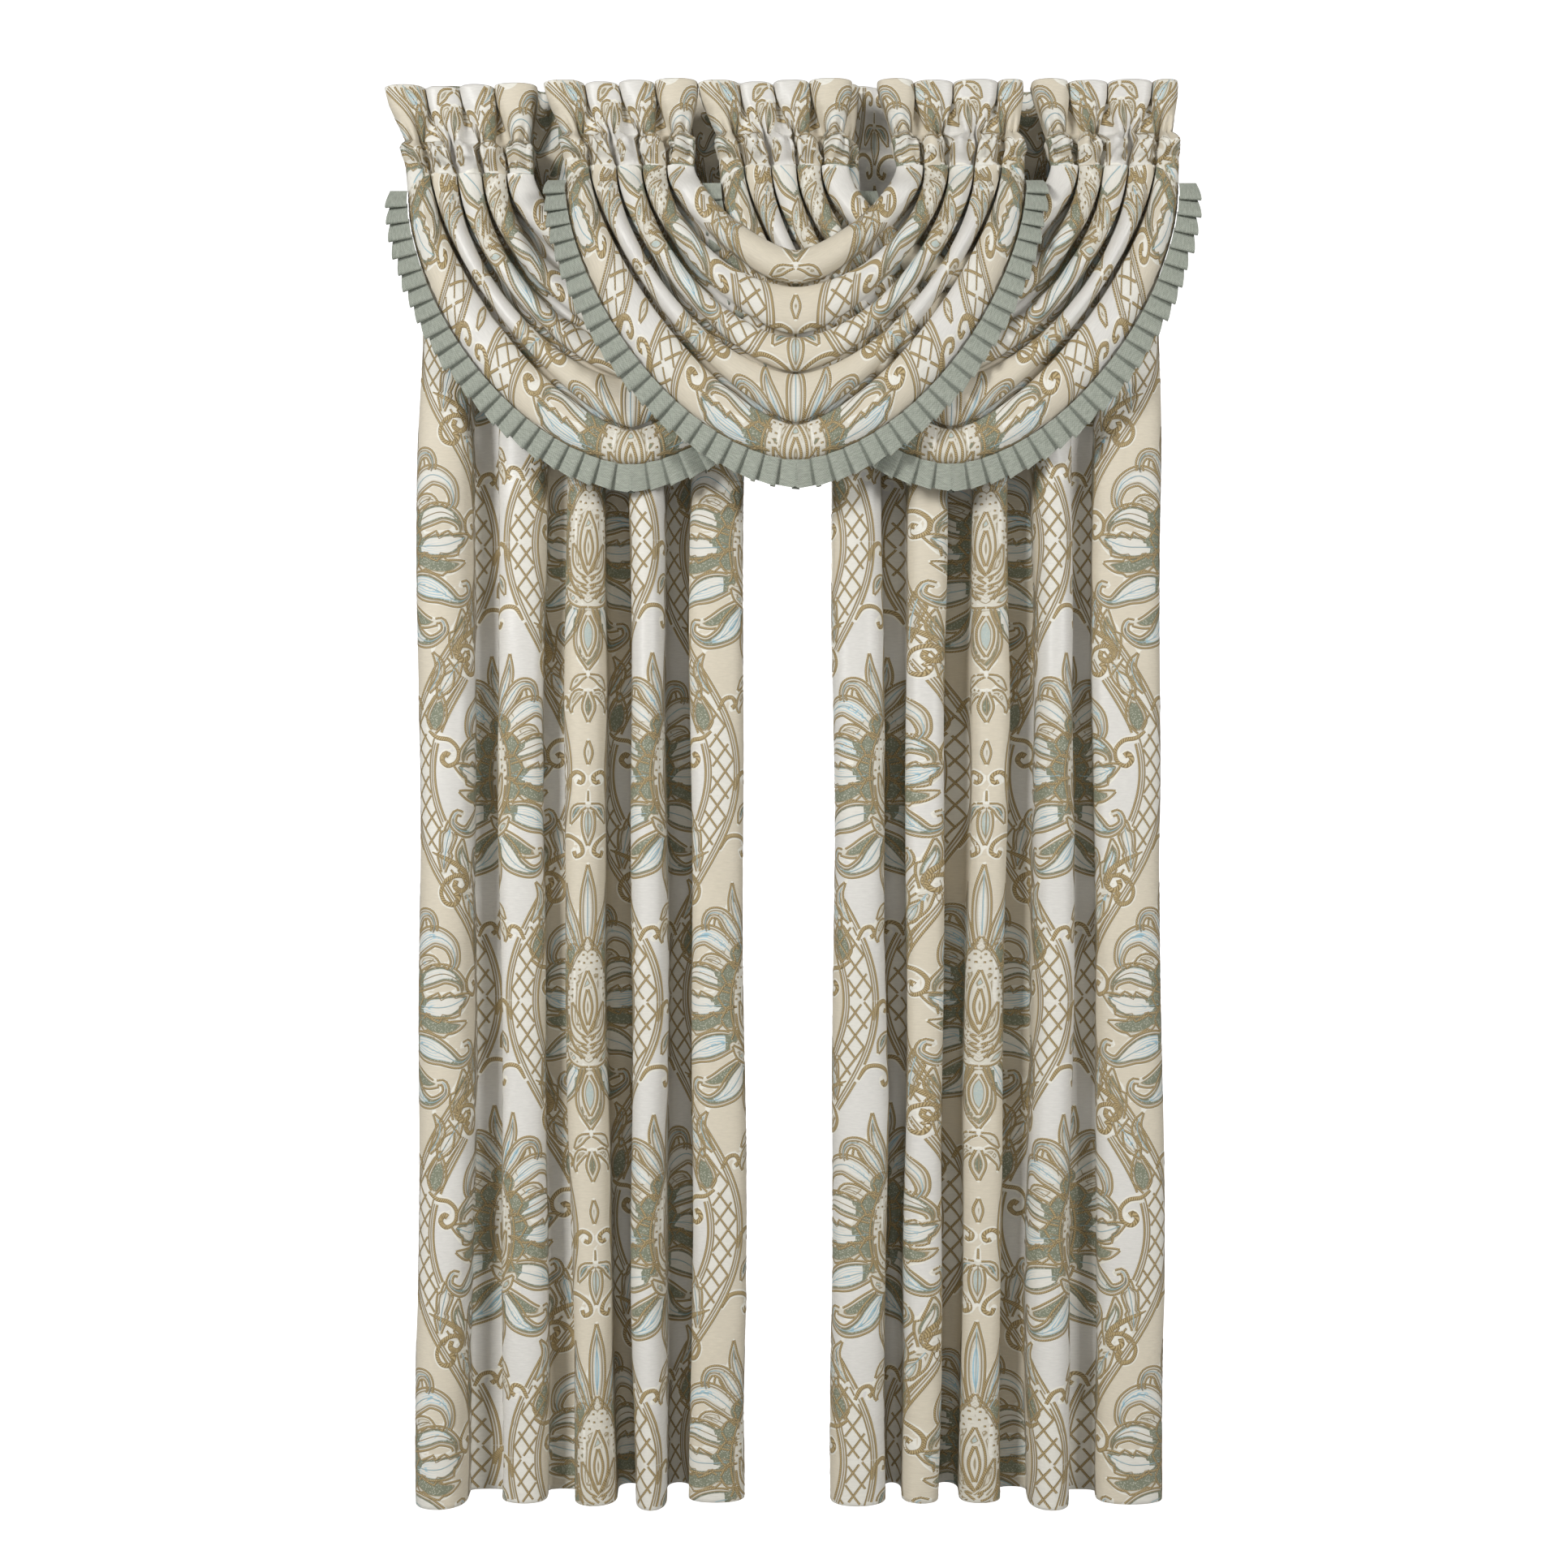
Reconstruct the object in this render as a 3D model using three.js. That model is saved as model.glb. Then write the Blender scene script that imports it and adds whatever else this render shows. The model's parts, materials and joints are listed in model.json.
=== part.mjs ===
// Two rod-pocket curtain panels under three overlapping waterfall valances. Each valance is a
// draped body that hangs between two gathered headers, with a pleated trim along its hem.
// Millimetres, +Z up, front towards -Y. The origin is the middle of the panels' top edge.
import * as THREE from 'three';

// Cloth
const DAMASK = 1.6;
const CANVAS = 1.4;
const PIECE_GAP = 0.3;

// Levels, measured from the panels' top edge
const PANEL_LENGTH = 2134;
const MID_LEVEL = -1100;
const FOLDS_FULL_LEVEL = -620;
const FOLDS_HALF_LEVEL = -320;
const VALANCE_TOP = -16;
const GATHER_STITCH = -91;
const ROD_LEVEL = -111;
const POCKET_STITCH = -131;
const SEAM_LEVEL = -141;
const SEAM_CORNER_DROP = 26;

// Three rods stand one before the other: the panels' rod, the left valance's and the front one
const PANEL_ROD_Y = 0;
const MIDDLE_ROD_Y = -32;
const FRONT_ROD_Y = -64;

// Rod pockets, gathered on the rod into puffs
const POCKET_REACH = 11;
const PUFF_REACH = 3;
const STITCHED_REACH = 4;
const PANEL_RUFFLE_REACH = 11;

// Panels: where each begins, and its folds from left to right. A fold has a rounded front, its
// width given at mid height and at the hem, and a narrower recess after it. reach is how far the
// front comes forward, back how far the recess goes back.
const PANELS = [
  {
    side: 'left', start: -561,
    folds: [
      { front: 84, hemFront: 75, reach: 60, recess: 37, hemRecess: 49, back: 10 },
      { front: 68, hemFront: 68, reach: 41, recess: 31, hemRecess: 42, back: 10 },
      { front: 59, hemFront: 63, reach: 49, recess: 39, hemRecess: 30, back: 32 },
      { front: 53, hemFront: 49, reach: 63, recess: 39, hemRecess: 33, back: 32 },
      { front: 80, hemFront: 81, reach: 40, recess: 0, hemRecess: 0, back: 0 },
    ],
  },
  {
    side: 'right', start: 62,
    folds: [
      { front: 78, hemFront: 82, reach: 49, recess: 36, hemRecess: 22, back: 34 },
      { front: 58, hemFront: 55, reach: 41, recess: 38, hemRecess: 31, back: 32 },
      { front: 54, hemFront: 62, reach: 40, recess: 39, hemRecess: 41, back: 20 },
      { front: 58, hemFront: 63, reach: 62, recess: 34, hemRecess: 45, back: 8 },
      { front: 101, hemFront: 97, reach: 46, recess: 0, hemRecess: 0, back: 0 },
    ],
  },
];
const FOLD_WRAP = THREE.MathUtils.degToRad(105);
const FRONT_STEPS = 4;
const RECESS_STEPS = 3;

// Valances: the middle of each, its rod, and how far its body comes forward at some drops
// below the header seam
const VALANCES = [
  {
    side: 'left', centre: -237, rod: MIDDLE_ROD_Y,
    forward: [{ drop: 0, by: 0 }, { drop: 100, by: 16 }, { drop: 250, by: 34 }, { drop: 450, by: 36 }],
  },
  {
    side: 'right', centre: 235, rod: FRONT_ROD_Y,
    forward: [{ drop: 0, by: 0 }, { drop: 100, by: 14 }, { drop: 250, by: 18 }, { drop: 450, by: 8 }],
  },
  {
    side: 'centre', centre: 6, rod: FRONT_ROD_Y,
    forward: [{ drop: 0, by: 0 }, { drop: 50, by: 26 }, { drop: 130, by: 43 }, { drop: 450, by: 38 }],
  },
];

// Valleys between the ridges of a valance's body, from its cowl rim to its hem. Each runs as a
// superellipse from half its span at the header seam down to its lowest point and up again.
const VALLEYS = [
  { halfSpan: 150, drop: 140, power: 1.25 },
  { halfSpan: 192, drop: 192, power: 1.8 },
  { halfSpan: 228, drop: 265, power: 1.7 },
  { halfSpan: 266, drop: 318, power: 1.65 },
  { halfSpan: 306, drop: 392, power: 1.46 },
  { halfSpan: 340, drop: 445, power: 1.7 },
];

// Ridges between those valleys: how far each stands proud at its arms and at the middle, and at
// which shares of its width it is drawn
const RIDGES = [
  { arm: 12, middle: 24, at: [0, 0.2, 0.5, 0.8] },
  { arm: 13, middle: 20, at: [0, 0.28, 0.75] },
  { arm: 12, middle: 16, at: [0, 0.28, 0.75] },
  { arm: 11, middle: 15, at: [0, 0.28, 0.75] },
  { arm: 7, middle: 9, at: [0, 0.28, 0.75] },
];
const SEAM_PROUD = 7;
const BODY_STEPS = 12;

// Header ruffles: the top edge runs from the outer end to the inner end in four rounded pleats
const HEADERS = [
  {
    side: 'left', direction: -1, outerEnd: 366,
    pleats: [
      { width: 53, reach: 13, rise: -6 }, { width: 51, reach: 9, rise: -8 },
      { width: 53, reach: 12, rise: -5 }, { width: 64, reach: 14, rise: -2 },
    ],
  },
  {
    side: 'right', direction: 1, outerEnd: 338,
    pleats: [
      { width: 38, reach: 11, rise: -2 }, { width: 66, reach: 13, rise: -4 },
      { width: 59, reach: 9, rise: -3 }, { width: 54, reach: 13, rise: -2 },
    ],
  },
];
const PLEAT_STEPS = 4;

// Trim: knife pleats sewn along a valance's hem. It narrows towards its ends, and each pleat
// stands out a little further where its face begins than at its fold.
const TRIM_WIDTH = 40;
const TRIM_END_WIDTH = 29;
const TRIM_PLEATS = 46;
const PLEAT_FACE_SHARE = 0.82;
const PLEAT_RISE = 4;
const PLEAT_CORNER = 1.5;
const CURVE_SAMPLES = 720;

const damaskFinish = new THREE.MeshStandardMaterial({ color: 0xd6ceba, roughness: 0.55, metalness: 0 });
const canvasFinish = new THREE.MeshStandardMaterial({ color: 0xaab4aa, roughness: 0.9, metalness: 0 });

const { lerp, smoothstep } = THREE.MathUtils;

// Six times the volume that a list of triangles encloses, positive when they face outwards.
function signedVolume(points, triangles) {
  let sum = 0;
  for (const [a, b, c] of triangles) {
    sum += points[a].dot(new THREE.Vector3().crossVectors(points[b], points[c]));
  }
  return sum;
}

// One closed body from shared points and triangles, turned to face outwards.
function closedBody(points, triangles) {
  const inwards = signedVolume(points, triangles) < 0;
  const index = triangles.flatMap(([a, b, c]) => (inwards ? [a, c, b] : [a, b, c]));
  const geometry = new THREE.BufferGeometry();
  geometry.setAttribute('position', new THREE.Float32BufferAttribute(points.flatMap((p) => p.toArray()), 3));
  geometry.setIndex(index);
  geometry.computeVertexNormals();
  return geometry;
}

function quad(a, b, c, d) {
  return [[a, b, c], [a, c, d]];
}

// The direction out of a sheet at one point of its grid, from its neighbours.
function sheetNormal(grid, i, j) {
  const along = grid[Math.min(i + 1, grid.length - 1)][j].clone().sub(grid[Math.max(i - 1, 0)][j]);
  const last = grid[i].length - 1;
  const across = grid[i][Math.min(j + 1, last)].clone().sub(grid[i][Math.max(j - 1, 0)]);
  return along.cross(across).normalize();
}

// A sheet of the given thickness round a grid of points: two faces and the four edges between.
function closedSheet(grid, thickness, offsetAt = (i, j) => sheetNormal(grid, i, j)) {
  const columns = grid.length;
  const rows = grid[0].length;
  const points = [];
  for (const side of [-0.5, 0.5]) {
    grid.forEach((column, i) => column.forEach((p, j) => {
      points.push(p.clone().addScaledVector(offsetAt(i, j), side * thickness));
    }));
  }
  const at = (side, i, j) => side * columns * rows + i * rows + j;
  const triangles = [];
  for (let i = 0; i < columns - 1; i += 1) {
    for (let j = 0; j < rows - 1; j += 1) {
      triangles.push(...quad(at(0, i, j), at(0, i + 1, j), at(0, i + 1, j + 1), at(0, i, j + 1)));
      triangles.push(...quad(at(1, i, j), at(1, i, j + 1), at(1, i + 1, j + 1), at(1, i + 1, j)));
    }
    for (const [j, turn] of [[0, false], [rows - 1, true]]) {
      const edge = [at(0, i, j), at(1, i, j), at(1, i + 1, j), at(0, i + 1, j)];
      triangles.push(...quad(...(turn ? edge.reverse() : edge)));
    }
  }
  for (let j = 0; j < rows - 1; j += 1) {
    for (const [i, turn] of [[0, true], [columns - 1, false]]) {
      const edge = [at(0, i, j), at(1, i, j), at(1, i, j + 1), at(0, i, j + 1)];
      triangles.push(...quad(...(turn ? edge.reverse() : edge)));
    }
  }
  return closedBody(points, triangles);
}

// A cloth with a rod pocket. Every station across the cloth gives the same rows from the bottom
// up, each with its front and back point. Between the two stitched rows the layers part round the
// rod, so those rows also have the points inside the pocket. Both faces of a layer are split along
// the same diagonals, so that its thickness stays whole where the cloth twists.
function pocketCloth(stations) {
  const rows = stations[0];
  const top = rows.length - 1;
  const floor = rows.findIndex((row) => row.stitched);
  const roof = rows.findLastIndex((row) => row.stitched);
  const points = [];
  const rings = stations.map((station) => {
    const put = (p) => points.push(p) - 1;
    const front = station.map((row) => put(row.front));
    const back = station.map((row) => put(row.back));
    const insideFront = station.map((row, r) => {
      if (r < floor || r > roof) return null;
      return put(row.stitched ? row.front.clone().lerp(row.back, 0.5) : row.insideFront);
    });
    const insideBack = station.map((row, r) => {
      if (r < floor || r > roof) return null;
      return row.stitched ? insideFront[r] : put(row.insideBack);
    });
    return { front, back, insideFront, insideBack };
  });

  const triangles = [];
  for (let i = 0; i < rings.length - 1; i += 1) {
    const here = rings[i];
    const next = rings[i + 1];
    for (let r = 0; r < top; r += 1) {
      triangles.push(...quad(here.front[r], next.front[r], next.front[r + 1], here.front[r + 1]));
      triangles.push(...quad(here.back[r], here.back[r + 1], next.back[r + 1], next.back[r]));
      if (r >= floor && r < roof) {
        triangles.push(...quad(here.insideFront[r], here.insideFront[r + 1],
          next.insideFront[r + 1], next.insideFront[r]));
        triangles.push(...quad(here.insideBack[r], next.insideBack[r],
          next.insideBack[r + 1], here.insideBack[r + 1]));
      }
    }
    triangles.push(...quad(here.back[0], next.back[0], next.front[0], here.front[0]));
    triangles.push(...quad(here.front[top], next.front[top], next.back[top], here.back[top]));
  }
  for (const [ring, turn] of [[rings[0], false], [rings.at(-1), true]]) {
    const { front, back, insideFront, insideBack } = ring;
    const end = [];
    for (let r = 0; r < top; r += 1) {
      if (r === floor - 1) {
        const stitch = insideFront[floor];
        end.push([front[r], stitch, back[r]], [front[r], front[r + 1], stitch]);
        end.push([back[r], stitch, back[r + 1]]);
      } else if (r === roof) {
        const stitch = insideFront[roof];
        end.push([front[r], front[r + 1], stitch], [stitch, back[r + 1], back[r]]);
        end.push([stitch, front[r + 1], back[r + 1]]);
      } else if (r >= floor && r < roof) {
        end.push(...quad(front[r], front[r + 1], insideFront[r + 1], insideFront[r]));
        end.push(...quad(insideBack[r], insideBack[r + 1], back[r + 1], back[r]));
      } else {
        end.push(...quad(front[r], front[r + 1], back[r + 1], back[r]));
      }
    }
    triangles.push(...end.map(([a, b, c]) => (turn ? [a, c, b] : [a, b, c])));
  }
  return closedBody(points, triangles);
}

// Two layers of cloth lying together at one point.
function doubled(x, y, z) {
  return { front: new THREE.Vector3(x, y - DAMASK, z), back: new THREE.Vector3(x, y + DAMASK, z) };
}

// The rows of a rod pocket at one station: its lower stitch, the rod's level and the stitch above.
// puff is 1 where the front layer bulges between gathers and 0 where the back layer does.
function pocketRows(pointAt, puff) {
  const stitched = (z) => ({
    stitched: true,
    front: pointAt(-STITCHED_REACH * puff - DAMASK, z),
    back: pointAt(STITCHED_REACH * (1 - puff) + DAMASK, z),
  });
  const front = POCKET_REACH + PUFF_REACH * puff;
  const back = POCKET_REACH + PUFF_REACH * (1 - puff);
  return [
    stitched(POCKET_STITCH),
    {
      front: pointAt(-front - DAMASK, ROD_LEVEL),
      insideFront: pointAt(-front, ROD_LEVEL),
      insideBack: pointAt(back, ROD_LEVEL),
      back: pointAt(back + DAMASK, ROD_LEVEL),
    },
    stitched(GATHER_STITCH),
  ];
}

// The plan of a panel's folds, seen from above: round fronts and recesses, joined where the cloth
// turns from one to the other. hemShare is 0 at mid height and 1 at the hem.
function foldPlan(folds, hemShare) {
  const plan = [];
  const bow = (angle) => (Math.cos(angle) - Math.cos(FOLD_WRAP)) / (1 - Math.cos(FOLD_WRAP));
  const tuck = (width) => (width / 2) * (1 - Math.sin(FOLD_WRAP));
  let left = 0;
  folds.forEach((fold, number) => {
    const front = lerp(fold.front, fold.hemFront, hemShare);
    const recess = lerp(fold.recess, fold.hemRecess, hemShare);
    for (let step = number ? 1 : 0; step <= FRONT_STEPS; step += 1) {
      const angle = lerp(-FOLD_WRAP, FOLD_WRAP, step / FRONT_STEPS);
      plan.push({ x: left + (front / 2) * (1 + Math.sin(angle)), y: -fold.reach * bow(angle) });
    }
    const nextFold = folds[number + 1];
    if (!nextFold) return;
    const start = left + front - tuck(front);
    const end = left + front + recess + tuck(lerp(nextFold.front, nextFold.hemFront, hemShare));
    for (let step = 1; step <= RECESS_STEPS; step += 1) {
      const angle = lerp(-FOLD_WRAP, FOLD_WRAP, step / RECESS_STEPS);
      const share = 0.5 + Math.sin(angle) / (2 * Math.sin(FOLD_WRAP));
      plan.push({ x: lerp(start, end, share), y: fold.back * bow(angle) });
    }
    left += front + recess;
  });
  return plan;
}

// How far along the cloth each point of a plan lies, as a share of its whole length.
function sharesAlong(plan) {
  const lengths = [0];
  for (let i = 1; i < plan.length; i += 1) {
    lengths.push(lengths[i - 1] + Math.hypot(plan[i].x - plan[i - 1].x, plan[i].y - plan[i - 1].y));
  }
  return lengths.map((length) => length / lengths.at(-1));
}

// A hanging panel, from its hem up through its folds to the gathered rod pocket and ruffle.
function panel({ start, folds }) {
  const middle = foldPlan(folds, 0);
  const shares = sharesAlong(middle);
  const width = Math.max(...middle.map((p) => p.x));
  const gathered = shares.map((share) => start + width * share);

  // One level of the folds, opened from the gathers by some share of their full depth.
  const foldsAt = (plan, opening, z) => {
    const points = plan.map((p, i) => new THREE.Vector3(
      lerp(gathered[i], start + p.x, opening), PANEL_ROD_Y + p.y * opening, z,
    ));
    return points.map((point, i) => {
      const along = points[Math.min(i + 1, points.length - 1)].clone().sub(points[Math.max(i - 1, 0)]);
      const outwards = new THREE.Vector3(along.y, -along.x, 0).normalize();
      return {
        front: point.clone().addScaledVector(outwards, DAMASK / 2),
        back: point.clone().addScaledVector(outwards, -DAMASK / 2),
      };
    });
  };
  const hanging = [
    foldsAt(foldPlan(folds, 1), 1, -PANEL_LENGTH),
    foldsAt(middle, 1, MID_LEVEL),
    foldsAt(middle, 0.95, FOLDS_FULL_LEVEL),
    foldsAt(middle, 0.5, FOLDS_HALF_LEVEL),
  ];
  return pocketCloth(gathered.map((x, i) => {
    const puff = middle[i].y > 0 ? 0 : 1;
    const ruffleY = PANEL_ROD_Y + PANEL_RUFFLE_REACH * (puff ? -1 : 1);
    return [
      ...hanging.map((level) => level[i]),
      ...pocketRows((y, z) => new THREE.Vector3(x, PANEL_ROD_Y + y, z), puff),
      doubled(x, ruffleY, 0),
    ];
  }));
}

// The lines along which a valance's cloth is drawn, from its rim to its hem: each has its own
// superellipse, and how far it stands proud of the valleys.
function bodyLines() {
  const lines = [];
  RIDGES.forEach((ridge, number) => {
    const inner = VALLEYS[number];
    const outer = VALLEYS[number + 1];
    for (const share of ridge.at) {
      lines.push({
        halfSpan: lerp(inner.halfSpan, outer.halfSpan, share),
        drop: lerp(inner.drop, outer.drop, share),
        power: lerp(inner.power, outer.power, share),
        arm: share ? ridge.arm : 0,
        middle: share ? ridge.middle : 0,
        seam: share ? SEAM_PROUD : 0,
        corner: number === RIDGES.length - 1 ? share : 0,
      });
    }
  });
  lines.push({ ...VALLEYS.at(-1), arm: 2, middle: 2, seam: 2, corner: 1 });
  return lines;
}

// How far forward of its rod a valance's body lies at a drop below its seam.
function forwardAt(forward, drop) {
  const next = Math.max(1, forward.findIndex((row) => row.drop >= drop));
  const [above, below] = [forward[next - 1], forward[next]];
  return lerp(above.by, below.by, smoothstep(drop, above.drop, below.drop));
}

// A point on a line of a valance's body. turn is 0 at the left seam and 1 at the right one.
function bodyPoint({ centre, rod, forward }, line, turn) {
  const angle = Math.PI * turn;
  const side = -Math.sign(Math.cos(angle)) * Math.abs(Math.cos(angle)) ** (2 / line.power);
  const sag = Math.sin(angle) ** (2 / line.power);
  const cornerDrop = SEAM_CORNER_DROP * line.corner;
  const dropped = cornerDrop + (line.drop - cornerDrop) * (turn === 0 || turn === 1 ? 0 : sag);
  const toMiddle = Math.sin(angle);
  const proud = lerp(lerp(line.seam, line.arm, smoothstep(dropped, 0, 120)), line.middle, toMiddle ** 4);
  return new THREE.Vector3(
    centre + (turn === 0 ? -1 : turn === 1 ? 1 : side) * line.halfSpan,
    rod - forwardAt(forward, dropped) - proud,
    SEAM_LEVEL - dropped,
  );
}

function valanceBody(valance) {
  const grid = bodyLines().map((line) => {
    const row = [];
    for (let step = 0; step <= BODY_STEPS; step += 1) {
      row.push(bodyPoint(valance, line, step / BODY_STEPS));
    }
    return row;
  });
  return closedSheet(grid, DAMASK);
}

// A valance's header: gathered on its seam to the body, parted round the rod, ruffled above.
function valanceHeader(valance, header) {
  const lines = bodyLines();
  const pleatAt = (share) => {
    const place = (1 - share) * header.pleats.length;
    const number = Math.min(Math.floor(place), header.pleats.length - 1);
    const within = place - number;
    const pleat = header.pleats[number];
    const before = header.pleats.slice(0, number).reduce((sum, p) => sum + p.width, 0);
    const roundness = Math.sin(Math.PI * within) ** 0.7;
    return {
      fromCentre: header.outerEnd - before - pleat.width * within,
      reach: pleat.reach * roundness,
      rise: pleat.rise + Math.abs(pleat.rise) * 0.5 * roundness,
    };
  };
  // How far the gathered cloth has spread from the seam towards the ruffle at each level
  const spread = new Map([[POCKET_STITCH, 0.1], [ROD_LEVEL, 0.25], [GATHER_STITCH, 0.45]]);
  return pocketCloth(lines.map((line, number) => {
    const top = pleatAt(number / (lines.length - 1));
    const xAt = (share) => valance.centre + header.direction * lerp(line.halfSpan, top.fromCentre, share);
    const seam = bodyPoint(valance, line, header.direction < 0 ? 0 : 1);
    seam.z += PIECE_GAP + DAMASK / 2;
    const pocketPoint = (y, z) => new THREE.Vector3(xAt(spread.get(z)), valance.rod + y, z);
    return [
      {
        front: seam.clone().setY(seam.y - DAMASK / 2),
        back: seam.clone().setY(seam.y + DAMASK / 2),
      },
      ...pocketRows(pocketPoint, line.seam / SEAM_PROUD),
      doubled(xAt(1), valance.rod - top.reach, VALANCE_TOP + top.rise),
    ];
  }));
}

// The trim along a valance's hem: pleats of even width, each face rising forward to its fold
// and stepping back under the next.
function valanceTrim(valance) {
  const hem = bodyLines().at(-1);
  const samples = [];
  for (let i = 0; i <= CURVE_SAMPLES; i += 1) samples.push(bodyPoint(valance, hem, i / CURVE_SAMPLES));
  const route = new THREE.CatmullRomCurve3(samples);
  route.arcLengthDivisions = CURVE_SAMPLES;
  const edgeAt = (share, side) => {
    const onHem = route.getPointAt(share);
    const along = route.getTangentAt(share).setY(0).normalize();
    const outwards = new THREE.Vector3(along.z, 0, -along.x);
    const width = lerp(TRIM_END_WIDTH, TRIM_WIDTH, Math.sin(Math.PI * share)) - side * PLEAT_CORNER;
    const lift = new THREE.Vector3(0, -side * PLEAT_RISE / 2, 0);
    const sewn = onHem.clone().addScaledVector(outwards, PIECE_GAP + DAMASK / 2);
    return [sewn, onHem.clone().addScaledVector(outwards, width).add(lift)];
  };
  const grid = [];
  for (let pleat = 0; pleat < TRIM_PLEATS; pleat += 1) {
    grid.push(edgeAt(pleat / TRIM_PLEATS, -1));
    grid.push(edgeAt((pleat + PLEAT_FACE_SHARE) / TRIM_PLEATS, 1));
  }
  grid.push(edgeAt(1, -1));
  return closedSheet(grid, CANVAS, () => new THREE.Vector3(0, -1, 0));
}

const curtains = new THREE.Group();

function add(name, geometry, finish) {
  const mesh = new THREE.Mesh(geometry, finish.clone());
  mesh.name = name;
  curtains.add(mesh);
}

for (const description of PANELS) {
  add(`panel_${description.side}`, panel(description), damaskFinish);
}
for (const valance of VALANCES) {
  const prefix = `valance_${valance.side}`;
  add(`${prefix}_body`, valanceBody(valance), damaskFinish);
  for (const header of HEADERS) {
    add(`${prefix}_header_${header.side}`, valanceHeader(valance, header), damaskFinish);
  }
  add(`${prefix}_trim`, valanceTrim(valance), canvasFinish);
}

export default curtains;
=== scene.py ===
# %% [markdown]
# # Damask curtains under waterfall valances
# Two rod-pocket panels hang in long folds. Three valances overlap in front of them: each is one
# cloth draped in swags between two gathered headers, with a pleated canvas trim along its hem.
# The fixed frame gives every solid its place. This script makes the cloth that is seen: fine
# sheets on the same folds, the woven damask, its gold cords, and the light.

import json
import math
from functools import partial

import bpy
import numpy as np
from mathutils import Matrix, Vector
from mathutils.bvhtree import BVHTree

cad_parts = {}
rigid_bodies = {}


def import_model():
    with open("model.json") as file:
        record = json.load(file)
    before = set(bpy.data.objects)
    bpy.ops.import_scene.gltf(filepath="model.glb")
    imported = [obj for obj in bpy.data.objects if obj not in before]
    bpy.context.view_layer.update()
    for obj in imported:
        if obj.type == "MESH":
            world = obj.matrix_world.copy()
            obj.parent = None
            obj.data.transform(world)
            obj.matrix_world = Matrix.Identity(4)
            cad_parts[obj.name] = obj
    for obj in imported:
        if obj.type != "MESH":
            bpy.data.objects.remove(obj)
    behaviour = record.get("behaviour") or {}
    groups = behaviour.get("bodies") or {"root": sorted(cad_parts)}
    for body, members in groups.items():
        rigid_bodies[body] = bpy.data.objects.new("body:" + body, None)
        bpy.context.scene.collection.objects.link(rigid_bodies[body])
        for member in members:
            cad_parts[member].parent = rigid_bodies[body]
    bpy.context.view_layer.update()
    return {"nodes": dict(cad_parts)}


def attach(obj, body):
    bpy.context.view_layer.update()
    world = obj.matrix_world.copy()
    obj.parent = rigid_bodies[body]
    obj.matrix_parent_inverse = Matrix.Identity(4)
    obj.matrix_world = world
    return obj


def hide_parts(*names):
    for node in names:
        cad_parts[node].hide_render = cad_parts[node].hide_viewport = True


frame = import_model()
print("solids in the frame:", len(frame["nodes"]))

# %% [markdown]
# ## Sizes
# The cloth repeats the driving sizes of its solids, so both lie on the same folds. Lengths are
# typed in millimetres, as a maker writes them, and turned into metres where they are used.
# z is measured down from the panels' top edge, and the room is towards -Y.

# %% Levels, rods and pockets
MM = 0.001
PANEL_LENGTH = 2134 * MM
MID_LEVEL = -1100 * MM
VALANCE_TOP = -16 * MM
GATHER_STITCH = -91 * MM
ROD_LEVEL = -111 * MM
POCKET_STITCH = -131 * MM
SEAM_LEVEL = -141 * MM
SEAM_CORNER_DROP = 26 * MM
MIDDLE_ROD_Y = -32 * MM
FRONT_ROD_Y = -64 * MM
POCKET_REACH = 11 * MM
LAYER_GAP = 1.6 * MM

# %% Folds of the panels: front width at mid height and hem, reach forward, recess, reach back
PANELS = {
    "left": dict(start=-561, folds=[
        dict(front=84, hem_front=75, reach=60, recess=37, hem_recess=49, back=10),
        dict(front=68, hem_front=68, reach=41, recess=31, hem_recess=42, back=10),
        dict(front=59, hem_front=63, reach=49, recess=39, hem_recess=30, back=32),
        dict(front=53, hem_front=49, reach=63, recess=39, hem_recess=33, back=32),
        dict(front=80, hem_front=81, reach=40, recess=0, hem_recess=0, back=0),
    ]),
    "right": dict(start=62, folds=[
        dict(front=78, hem_front=82, reach=49, recess=36, hem_recess=22, back=34),
        dict(front=58, hem_front=55, reach=41, recess=38, hem_recess=31, back=32),
        dict(front=54, hem_front=62, reach=40, recess=39, hem_recess=41, back=20),
        dict(front=58, hem_front=63, reach=62, recess=34, hem_recess=45, back=8),
        dict(front=101, hem_front=97, reach=46, recess=0, hem_recess=0, back=0),
    ]),
}
FOLD_WRAP = math.radians(105)

# %% Valances: middle, rod, and how far forward the body comes at some drops below its seam
VALANCES = {
    "left": dict(centre=-237, rod=MIDDLE_ROD_Y, lift=7,
                 drops=(0, 100, 250, 450), forward=(0, 16, 34, 36)),
    "right": dict(centre=235, rod=FRONT_ROD_Y, lift=0,
                  drops=(0, 100, 250, 450), forward=(0, 14, 18, 8)),
    "centre": dict(centre=6, rod=FRONT_ROD_Y, lift=0,
                   drops=(0, 50, 130, 450), forward=(0, 26, 43, 38)),
}
VALLEYS = [
    dict(half_span=150, drop=140, power=1.45),
    dict(half_span=192, drop=192, power=1.8),
    dict(half_span=228, drop=265, power=1.7),
    dict(half_span=266, drop=318, power=1.65),
    dict(half_span=306, drop=392, power=1.46),
    dict(half_span=340, drop=445, power=1.7),
]
RIDGES = [
    dict(arm=14, middle=24), dict(arm=15, middle=20), dict(arm=14, middle=16),
    dict(arm=14, middle=15), dict(arm=14, middle=11),
]
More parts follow.
